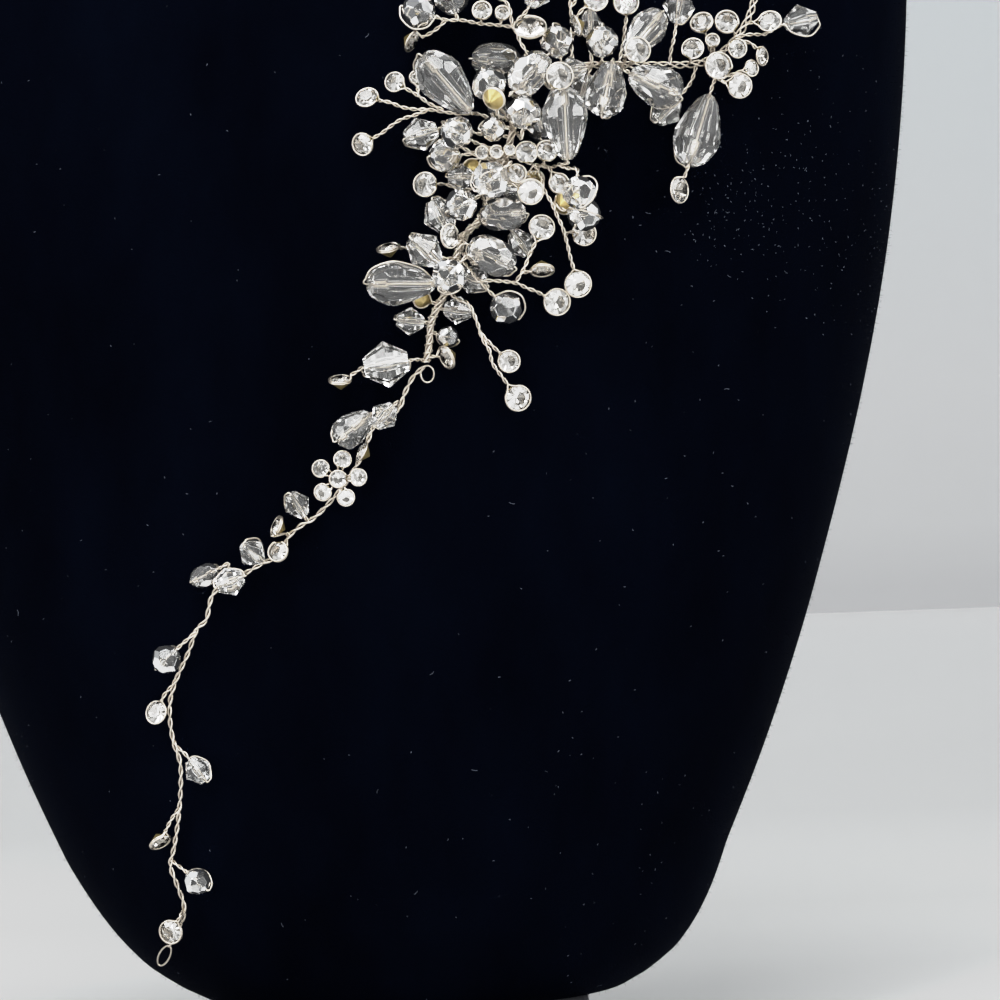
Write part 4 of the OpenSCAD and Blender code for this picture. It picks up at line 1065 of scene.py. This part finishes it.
def foil_pattern(name, near, far):
    """A thin closed cone between two distances from the stone."""
    a = round_angles(FOIL_SIDES)

    def ring(radius, height):
        return np.stack([radius * np.cos(a), radius * np.sin(a), np.full(FOIL_SIDES, height)],
                        axis=1)
    inner = [ring(r + near, h - FOIL_DROP * near) for r, h in FOIL_PROFILE]
    outer = [ring(r + far, h - FOIL_DROP * far) for r, h in FOIL_PROFILE]
    tip_in, tip_out = ring(FOIL_TIP, FOIL_TIP_IN - near), ring(FOIL_TIP, FOIL_TIP_OUT - far)
    points, faces = loft([tip_in] + inner[::-1] + outer + [tip_out])
    block = bmesh.new()
    block.from_mesh(mesh_of(name, points / MM, faces))
    bmesh.ops.recalc_face_normals(block, faces=block.faces[:])
    return pattern_object(name, block)


table_plane = (np.array([0, 0, 1.0]), TABLE_HEIGHT)
block = cut_block([table_plane] + [p for row in STONE_CUT for p in row_planes(*row)])
print("stone pattern:", len(block.faces), "cut faces")
pattern[STONE] = pattern_object("stone", block)
silver_cone = foil_pattern("silver_cone", 0.02, 0.04)
gold_cone = foil_pattern("gold_cone", 0.045, 0.07)

# %% [markdown]
# ## Reading a spray
# The last thing before the beads can be set is to know how each one lies. A bead's hole follows its
# stalk, so its direction runs from the stalk's last point to its middle. A stone instead shows its
# table, turned and leaned away from the viewer as its row says.

# %% Spray geometry
SIZES = {BICONE: 5.0, ROUND: 6.0, BARREL: 6.2, DROP: 7.5, PEAR: 6.5, STONE: 4.2, FOIL: 4.2}
LENGTHS = {BICONE: 0.95, ROUND: 0.9, BARREL: 1.3, DROP: 1.55, PEAR: 1.25}
GAP = 0.3
STALK_RADIUS = 0.36
STONE_POINT, STONE_CROWN, STONE_TABLE = 0.85, 0.32, 0.6
SHORT = 0.001
NEARLY_ALONG = 0.9


def unit(v):
    """The same direction, one long."""
    return v / max(float(np.linalg.norm(v)), SHORT)


def square_frame(axis):
    """Three directions square to one another, the last along the axis."""
    start = np.array([1.0, 0, 0] if abs(axis[1]) > NEARLY_ALONG else [0, 1.0, 0])
    side = unit(start - axis * start.dot(axis))
    return np.stack([side, np.cross(axis, side), axis], axis=1)


def facing(turn, lean):
    """Where a stone looks that leans away from the viewer, towards a turn round the view."""
    return np.array([math.cos(turn) * math.sin(lean), -math.cos(lean),
                     math.sin(turn) * math.sin(lean)])


class Spray:
    """One row of the tables, worked out in the shared frame."""

    def __init__(self, row):
        self.kind, share, rise, stalk, self.place = row[:5]
        turn, lean = (math.radians(v) for v in (row[5:] or (0, 0)))
        self.stalk = [on_bust(p) for p in stalk]
        if self.kind == TWIG:
            self.end = on_bust(self.place)
            return
        self.wide = share * SIZES[self.kind]
        self.middle = on_bust([*self.place, rise + GAP + self.wide / 2])
        self.axis = unit(self.middle - self.stalk[-1])
        if self.is_stone():
            self.half = self.wide / 2
            self.face = facing(turn, lean)
            self.end = self.middle - self.axis * (self.reach() + STALK_RADIUS + GAP)
        else:
            self.half = self.wide * LENGTHS[self.kind] / 2
            self.face = self.axis
            self.end = self.middle - self.axis * (self.half + GAP)

    def is_stone(self):
        return self.kind in (STONE, FOIL)

    def reach(self):
        """How far a stone reaches from its middle towards its stalk."""
        r = self.wide / 2
        up = float(-self.axis.dot(self.face))
        side = math.sqrt(max(1 - up * up, 0))
        if up < 0:
            return r / (side - up / STONE_POINT)
        return min(r * STONE_CROWN / max(up, SHORT),
                   r / (side + up * (1 - STONE_TABLE) / STONE_CROWN))


tables = {"tail": TAIL_SPRAYS, "low": LOW_SPRAYS, "mid": MID_SPRAYS, "top": TOP_SPRAYS,
          "end": END_SPRAYS}
sprays = {part: [Spray(row) for row in rows] for part, rows in tables.items()}
print("sprays:", {part: len(rows) for part, rows in sprays.items()})

# %% [markdown]
# ## Setting the beads
# A field of beads is one pattern at many places, each with its own turn and size. That is what
# Instance on Points does. The places go in as a mesh of loose points, with the turn kept as a
# quaternion and the size as a vector, so a long bead can be scaled along its hole alone.

# %% Setting tree
setting_tree, board, given = new_tree("set in place", Pattern="Object", Finish="Material")
placed = board.add("GeometryNodeInstanceOnPoints", None, Points=given["Geometry"],
                   Instance=board.shape_of(given["Pattern"]),
                   Rotation=board.attribute("turn", "QUATERNION"),
                   Scale=board.attribute("size", "FLOAT_VECTOR"))["Instances"]
for label in ("turn", "size"):
    placed = board.add("GeometryNodeRemoveAttribute", None, Geometry=placed,
                       Name=label)["Geometry"]
board.end(placed, given["Finish"])
print("setting tree has", len(setting_tree.nodes), "nodes")


# %% Fields of beads and stones
def set_field(name, shape, finish, where):
    """One pattern at many places, given as (middle, frame, scale) rows."""
    places = mesh_of(name, [middle for middle, _, _ in where], [])
    for label, layer in (("turn", "QUATERNION"), ("size", "FLOAT_VECTOR")):
        places.attributes.new(label, layer, "POINT")
    turns, sizes = places.attributes["turn"], places.attributes["size"]
    for i, (_, turned, scale) in enumerate(where):
        turns.data[i].value = Matrix(turned.tolist()).to_quaternion()
        sizes.data[i].vector = np.asarray(scale) * MM
    return run_tree(setting_tree, name, places, Pattern=shape, Finish=finish)


def bead_field(name, chosen):
    """The beads of a node, one run of the tree for each kind."""
    meshes = []
    for kind in sorted({s.kind for s in chosen}):
        where = [(s.middle, square_frame(s.axis), (s.wide / 2, s.wide / 2, s.half))
                 for s in chosen if s.kind == kind]
        meshes.append(set_field(name, pattern[kind], GLASS, where))
    return joined(name, meshes)


RING_WIDE = 0.26
STONE_LAYERS = [(pattern[STONE], CRYSTAL), (silver_cone, SILVER), (gold_cone, GOLD)]


def stone_field(name, where):
    """Stones with their foils."""
    return joined(name, [set_field(name, shape, finish, where) for shape, finish in STONE_LAYERS])


def stone_row(middle, face, wide):
    """Where a stone goes, drawn in so that the ring round it ends at the full width."""
    return middle, square_frame(face), (wide / 2 - RING_WIDE,) * 3


big = [s for part in ("low", "mid", "top") for s in sprays[part] if s.kind == DROP]
big += [s for s in sprays["top"] if s.kind == PEAR]
big_bicone = sprays["low"][0]
BIG_NAMES = ["teardrop_low", "teardrop_centre", "teardrop_left", "petal_up", "teardrop_right",
             "petal_down", "petal_side"]
for name, spray in [*zip(BIG_NAMES, big), ("big_bicone", big_bicone)]:
    add_piece("cut_" + name, bead_field("cut_" + name, [spray]), "cut_glass", name)

for part, rows in sprays.items():
    loose = [s for s in rows if s not in big and s is not big_bicone]
    for label, kinds in (("bicones", (BICONE,)), ("round_beads", (ROUND, BARREL, PEAR))):
        chosen = [s for s in loose if s.kind in kinds]
        name = f"cut_{part}_{label}"
        add_piece(name, bead_field(name, chosen), "cut_glass", f"{part}_{label}")
    for label, kind, slot in (("stones", STONE, "stone"), ("foil_stones", FOIL, "gold_foil")):
        chosen = [s for s in rows if s.kind == kind]
        if chosen:
            name = f"set_{part}_{label}"
            where = [stone_row(s.middle, s.face, s.wide) for s in chosen]
            add_piece(name, stone_field(name, where), slot, f"{part}_{label}")

# %% [markdown]
# ## The flower
# Half way down the tail, five small stones stand round a sixth. Their places follow a rule, so they
# are worked out and not listed: five equal turns, one stone and a gap away from the middle.

# %% Flower
FLOWER_PLACE = (-9.0, 85.5)
FLOWER_SHARE, FLOWER_RISE, FLOWER_TURN, FLOWER_PETALS = 0.73, 2.2, 5.0, 5
FLOWER_LEAN = math.radians(8)
flower_wide = SIZES[STONE] * FLOWER_SHARE
flower_lift = FLOWER_RISE + GAP + flower_wide / 2
flower_spread = flower_wide + GAP
flower = [(on_bust([*FLOWER_PLACE, flower_lift]), np.array([0, -1.0, 0]))]
for k in range(FLOWER_PETALS):
    a = math.radians(FLOWER_TURN + 360 * k / FLOWER_PETALS)
    flower.append((
        on_bust([FLOWER_PLACE[0] + flower_spread * math.cos(a),
                 FLOWER_PLACE[1] + flower_spread * math.sin(a), flower_lift]),
        facing(a, FLOWER_LEAN)))
where = [stone_row(middle, face, flower_wide) for middle, face in flower]
add_piece("set_flower", stone_field("set_flower", where), "stone", "flower_stones")
for tool in [*pattern.values(), silver_cone, gold_cone]:
    bpy.data.objects.remove(tool)

# %% [markdown]
# ## Twisted wire
# The whole jewel is held by wire that is bent double and twisted on itself. Two strands run round
# their common middle line, half a turn apart. Geometry Nodes can do that to any line: resample it,
# copy it once for each strand, and push every point of a copy sideways by an angle that grows along
# the line. The same tree makes a twisted pair, a thick bundle, a coil wound round a stem, and with
# no sideways push a single wire.

# %% Wire tree
wire_tree, board, given = new_tree(
    "twisted wire", Strand="Float", Spread="Float", Turn="Float", Strands="Int", Step="Float",
    Sides="Int", Finish="Material")
line = board.add("GeometryNodeMeshToCurve", None, given["Geometry"])["Curve"]
line = board.add("GeometryNodeCurveSplineType", {"spline_type": "CATMULL_ROM"}, Curve=line)["Curve"]
line = board.add("GeometryNodeResampleCurve", {"mode": "LENGTH"}, Curve=line,
                 Length=given["Step"])["Curve"]
copies = board.add("GeometryNodeDuplicateElements", {"domain": "SPLINE"}, Geometry=line,
                   Amount=given["Strands"])
along = board.add("GeometryNodeSplineParameter")["Length"]
angle = 2 * math.pi * (along / given["Turn"] + copies["Duplicate Index"] / given["Strands"])
ahead_port = board.add("GeometryNodeInputTangent")["Tangent"]
side_port = board.add("GeometryNodeInputNormal")["Normal"]
other_port = board.vector("CROSS_PRODUCT", ahead_port, side_port)
push = board.vector("ADD", *[
    board.vector("SCALE", port, Scale=given["Spread"] * angle.maths(part, angle))
    for port, part in ((side_port, "COSINE"), (other_port, "SINE"))])
strands = board.add("GeometryNodeSetPosition", None, Geometry=copies["Geometry"], Offset=push)
profile = board.add("GeometryNodeCurvePrimitiveCircle", {"mode": "RADIUS"},
                    Resolution=given["Sides"], Radius=given["Strand"])["Curve"]
tubes = board.add("GeometryNodeCurveToMesh", None, Curve=strands["Geometry"],
                  Profile_Curve=profile, Fill_Caps=True)["Mesh"]
board.end(tubes, given["Finish"])
print("wire tree has", len(wire_tree.nodes), "nodes")


# %% Wires of each make
MAKES = {
    # strand radius, sideways push, length of a turn, strands, step along the line, sides
    "pair": (0.15, 0.2, 3.0, 2, 0.24, 6),
    "stem": (0.19, 0.25, 4.2, 2, 0.28, 6),
    "bundle": (0.2, 0.42, 6.5, 4, 0.4, 6),
    "loose": (0.16, 0.5, 6.0, 3, 0.3, 6),
    "coil": (0.16, 0.66, 1.5, 1, 0.16, 6),
    "single": (0.16, 0.0, 1.0, 1, 0.3, 6)}


def run_wire(name, make, routes, closed=False):
    """One make of wire along every route."""
    points, edges = [], []
    for route in routes:
        start = len(points)
        points += [list(p) for p in route]
        edges += [(start + i, start + i + 1) for i in range(len(route) - 1)]
        if closed:
            edges.append((len(points) - 1, start))
    strand, spread, turn, strands_used, step, sides = MAKES[make]
    made = run_tree(wire_tree, name, mesh_of(name, points, [], edges), Strand=strand * MM,
                    Spread=spread * MM, Turn=turn * MM, Strands=strands_used, Step=step * MM,
                    Sides=sides, Finish=WIRE)
    made.polygons.foreach_set("use_smooth", [True] * len(made.polygons))
    return made


# %% [markdown]
# ## The stalks
# Hand-twisted stalks are never quite straight, so points with a small sideways step are put into
# each long stretch. The steps come from one random source with a fixed seed, and the stalk's ends
# stay where the tables put them.

# %% Stalk routes
chance = np.random.default_rng(20)
BEND_EVERY = 3.0
BEND_SIDE = 0.16


def bent(route):
    """A route with small bends in its long stretches."""
    done = [route[0]]
    for start, end in zip(route[:-1], route[1:]):
        along_route = end - start
        pieces_in = int(np.linalg.norm(along_route) / BEND_EVERY) + 1
        for i in range(1, pieces_in):
            done.append(start + along_route * i / pieces_in + chance.normal(0, BEND_SIDE, 3))
        done.append(end)
    return done


stalks = {part: [bent([*s.stalk, s.end]) for s in rows] for part, rows in sprays.items()}
length = sum(float(np.linalg.norm(b - a)) for rows in stalks.values() for route in rows
             for a, b in zip(route[:-1], route[1:]))
print("stalks:", round(length), "mm of twisted pair")

# %% [markdown]
# ## Wire round the beads and stones
# The same wire goes on past the stalk. Through a bead it runs straight along the hole, turns round
# the far end, and comes back over the outside to the stalk. On some beads that loop stands clear
# and shows, so a few rows say on which side. Round a stone it lies as a ring on the girdle.

# %% Loops
LOOP_CLEAR, LOOP_OUT, LOOP_TURN = 0.3, 0.12, 0.3
CLEAR_SHOWN, CLEAR_HIDDEN = 1.6, 0.7
RING_IN, RING_OPEN = 0.14, 0.38
RING_BELOW, RING_ABOVE, RING_TWICE = -0.12, 0.16, 0.5
RING_POINTS = 14
LOOP_OUTLINES = {
    # height and radius as shares, from the far end back to the near one
    BICONE: [(0.95, 0.5), (0, 1), (-0.95, 0.5)],
    ROUND: [(0.8, 0.66), (0, 1), (-0.8, 0.66)],
    BARREL: [(0.85, 0.7), (0, 1), (-0.85, 0.7)],
    DROP: [(0.88, 0.66), (0.35, 1), (-0.1, 0.9), (-0.6, 0.6)],
    PEAR: [(0.88, 0.7), (0.35, 1), (-0.1, 0.92), (-0.6, 0.66)]}
LOOP_SIDES = {
    # place of the bead: the side on which its loop shows, as across and up
    (1.5, 118): (0.1, 1), (19, 114): (0.6, 1), (31.2, 133.2): (1, 0.3), (32, 129.6): (1, -0.2),
    (4.4, 163.5): (-0.8, -1), (68.2, 161.9): (0.5, -1)}
LOOP_SHOWS, LOOP_HIDES = 0.55, 0.75


def bead_loop(spray):
    """The wire through a bead and back over its outside."""
    side = LOOP_SIDES.get(tuple(spray.place))
    if side:
        out = np.array([side[0], -LOOP_SHOWS, side[1]])
    else:
        a = chance.uniform(0, 2 * math.pi)
        out = np.array([math.cos(a), LOOP_HIDES, math.sin(a)])
    out = unit(out - spray.axis * out.dot(spray.axis))
    r = spray.wide / 2
    near, far = spray.end, spray.middle + spray.axis * (spray.half + LOOP_OUT)
    clear = LOOP_CLEAR * (CLEAR_SHOWN if side else CLEAR_HIDDEN)
    back = [spray.middle + spray.axis * h * spray.half + out * (q * r + clear)
            for h, q in LOOP_OUTLINES[spray.kind]]
    over = far + spray.axis * LOOP_OUT + out * LOOP_TURN * r
    return [near, spray.middle, far, over, *back, near]


def stone_ring(middle, face, radius, tie, shift):
    """The wire round a stone's girdle, open towards the point where it is tied."""
    frame_of = square_frame(face)
    to_tie = (tie - middle) @ frame_of
    start = math.atan2(to_tie[1], to_tie[0])
    ring = []
    for k in range(RING_POINTS):
        a = start + RING_OPEN + (2 * math.pi - 2 * RING_OPEN) * k / (RING_POINTS - 1)
        ring.append(middle + frame_of @ np.array([
            (radius - RING_IN) * math.cos(a), (radius - RING_IN) * math.sin(a), shift]))
    return [tie, *ring, tie]


loops = {}
for part, rows in sprays.items():
    loops[part] = [bead_loop(s) for s in rows if s.kind in LOOP_OUTLINES]
    for s in rows:
        if s.is_stone():
            loops[part].append(stone_ring(s.middle, s.face, s.wide / 2, s.end, RING_BELOW))
            if chance.random() < RING_TWICE:
                loops[part].append(stone_ring(s.middle, s.face, s.wide / 2, s.end, RING_ABOVE))
print("loops:", {part: len(rows) for part, rows in loops.items()})

# %% [markdown]
# ## Stems, coils and eyes
# The tail's stem is a plain twisted pair. The stem of the cluster carries every stalk's wires, so
# it is a bundle with a wire wound round it. At each free end a small eye of plain wire takes a
# hairpin, and a third one sits at the knot where the tail begins.

# %% Wire pieces
EYE_HIGH, EYE_WIDE, EYE_POINTS = 2.0, 0.9, 12
TAIL_EYE_TURN, VINE_EYE_TURN = 28.0, 140.0
KNOT_EYE = [5.9, 104.4, 1.6]
KNOT_EYE_WIDE, KNOT_EYE_HIGH = 1.1, 1.4
FLOWER_ROOT = [-8, 84.5, 1.6]
FLOWER_BACK, FLOWER_RING, FLOWER_SIDE = 0.55, -0.1, 0.4


def eye(end, wide, high, turn):
    """A closed ring that hangs from its end, turned to the left of straight down."""
    across, down = math.cos(math.radians(turn)), math.sin(math.radians(turn))
    ring = []
    for a in round_angles(EYE_POINTS):
        x, z = wide * math.cos(a), high * math.sin(a) - high
        ring.append(on_bust([end[0] + x * across + z * down, end[1] - x * down + z * across,
                             end[2]]))
    return ring


tail_line = [on_bust(p) for p in TAIL_STEM]
vine_line = [on_bust(p) for p in VINE_STEM]
eyes = {
    "tail": [eye(TAIL_STEM[-1], EYE_WIDE, EYE_HIGH, TAIL_EYE_TURN),
             eye(KNOT_EYE, KNOT_EYE_WIDE, KNOT_EYE_HIGH, 0)],
    "vine": [eye(VINE_STEM[-1], EYE_WIDE, EYE_HIGH, VINE_EYE_TURN)]}
flower_back = flower[0][0] + np.array([0, flower_wide * FLOWER_BACK, 0])
flower_rings = [stone_ring(middle, face, flower_wide / 2, flower_back, FLOWER_RING)
                for middle, face in flower[1:]]
flower_rings.append(stone_ring(*flower[0], flower_wide / 2,
                               flower_back + np.array([FLOWER_SIDE, 0, 0]), FLOWER_RING))
flower_stalk = [on_bust(FLOWER_ROOT), flower_back]

tail_piece = joined("tail_wire_twisted", [
    run_wire("a", "stem", [tail_line]),
    run_wire("b", "pair", stalks["tail"] + [bent(flower_stalk)]),
    run_wire("c", "single", loops["tail"] + flower_rings),
    run_wire("d", "single", eyes["tail"], closed=True)])
add_piece("tail_wire_twisted", tail_piece, "silver_wire", "tail_wire")

cluster = ("low", "mid", "top", "end")
BUNDLE_ENDS, COIL_ENDS = 15, 9
add_piece("vine_stem_bundle", joined("vine_stem_bundle", [
    run_wire("a", "bundle", [vine_line[:BUNDLE_ENDS + 1]]),
    run_wire("b", "coil", [vine_line[:COIL_ENDS + 1]]),
    run_wire("d", "loose", [vine_line[BUNDLE_ENDS:]]),
    run_wire("c", "single", eyes["vine"], closed=True)]), "silver_wire", "vine_wire")
add_piece("vine_stalks", run_wire("vine_stalks", "pair", [
    route for part in cluster for route in stalks[part]]), "silver_wire")
add_piece("vine_loops", run_wire("vine_loops", "single", [
    route for part in cluster for route in loops[part]]), "silver_wire")

# %% [markdown]
# ## The studio
# The jewel stands on a pale table before a pale wall. Clear glass has no colour of its own, so what
# it shows is the room: a bright ceiling, softer sides, and a few darker gaps between them give the
# facets their greys. The room is the world's background, and large soft lights stand in it. The
# camera itself sees the background as one plain tone.
#
# A phone holds back what is brighter than white. Blender's plain view cuts it off instead, so a
# curve bends the brightest tones over and leaves the rest as it is.

# %% Table and wall
WALL_AT = 1280.0
STAGE_HALF = 3000.0
table_mesh = mesh_of("table", [
    [-STAGE_HALF, -STAGE_HALF, 0], [STAGE_HALF, -STAGE_HALF, 0], [STAGE_HALF, WALL_AT, 0],
    [-STAGE_HALF, WALL_AT, 0]], [(0, 1, 2, 3)], finish=TABLE_WITH_PAINTED_LIGHT)
wall_mesh = mesh_of("wall", [
    [-STAGE_HALF, WALL_AT, 0], [STAGE_HALF, WALL_AT, 0], [STAGE_HALF, WALL_AT, STAGE_HALF],
    [-STAGE_HALF, WALL_AT, STAGE_HALF]], [(0, 1, 2, 3)], finish=WALL_WITH_PAINTED_SHADE)
for name, mesh in (("table", table_mesh), ("wall", wall_mesh)):
    backdrop = new_object(name, mesh)
print("table and wall stand ready")


# %% Room and lights
def room_light(board):
    """Bright above, softer at the sides, with darker gaps between."""
    towards = board.add("ShaderNodeTexCoord")["Generated"]
    height = board.add("ShaderNodeSeparateXYZ", None, towards)["Z"]
    tone = board.ramp(height * 0.5 + 0.5, (0.0, grey(0.5)), (0.42, grey(0.62)),
                      (0.62, grey(0.9, 0.02)), (1.0, grey(1.5, 0.03)))
    patchy = board.ramp(board.noise(2.3, 1.0, towards), (0.40, grey(0.24)), (0.56, grey(1.0)))
    seen = board.add("ShaderNodeMix", {"data_type": "RGBA", "blend_type": "MULTIPLY"},
                     Factor=1.0, A=tone, B=patchy)["Result"]
    straight = board.add("ShaderNodeLightPath")["Is Camera Ray"]
    return board.mix(straight, seen, grey(0.62, 0.02))


ROOM_STRENGTH = 0.9
room = bpy.data.worlds.new("studio_room")
room.use_nodes = True
bpy.context.scene.world = room
board = Board(room.node_tree)
board.add("ShaderNodeOutputWorld", None, board.add(
    "ShaderNodeBackground", None, Color=room_light(board), Strength=ROOM_STRENGTH)["Background"])

LAMPS = [
    # name, place, aimed at, width, height, watts
    ["ceiling", (-150, -650, 1150), (20, -40, 150), 900, 600, 14],
    ["left_strip", (-950, -500, 420), (0, -40, 150), 300, 900, 7],
    ["right_strip", (900, -420, 560), (30, -40, 150), 260, 800, 6],
    ["spark_left", (-380, -900, 620), (20, -50, 150), 90, 90, 2.0],
    ["spark_right", (420, -980, 330), (20, -50, 150), 110, 70, 1.8],
    ["spark_low", (60, -820, 60), (20, -50, 150), 160, 50, 1.2]]
for name, stands, aimed, wide, high, watts in LAMPS:
    lamp = bpy.data.lights.new(name, "AREA")
    lamp.shape = "RECTANGLE"
    lamp.size, lamp.size_y = wide * MM, high * MM
    lamp.energy = watts
    holder = new_object(name, lamp)
    holder.visible_camera = False
    back = unit(np.array(stands, dtype=float) - np.array(aimed, dtype=float))
    right = unit(np.cross(np.array([0, 0, 1.0]), back))
    up = np.cross(back, right)
    holder.matrix_world = pose(right, up, back, stands)
print("lamps:", len(LAMPS))

# %% Tone curve
BRIGHTEST = 4.0
TONES = [[0.66, 0.66], [1.0, 0.80], [2.0, 0.90], [BRIGHTEST, 0.97]]
view = bpy.context.scene.view_settings
view.view_transform = "Standard"
view.use_curve_mapping = True
mapping = view.curve_mapping
mapping.white_level = (BRIGHTEST, BRIGHTEST, BRIGHTEST)
every_channel = mapping.curves[3]
every_channel.points[1].location = (TONES[-1][0] / BRIGHTEST, TONES[-1][1])
for light, shown in TONES[:-1]:
    every_channel.points.new(light / BRIGHTEST, shown)
for point in every_channel.points:
    point.handle_type = "VECTOR"
mapping.update()
print("tone curve points:", [[round(v, 3) for v in p.location] for p in every_channel.points])
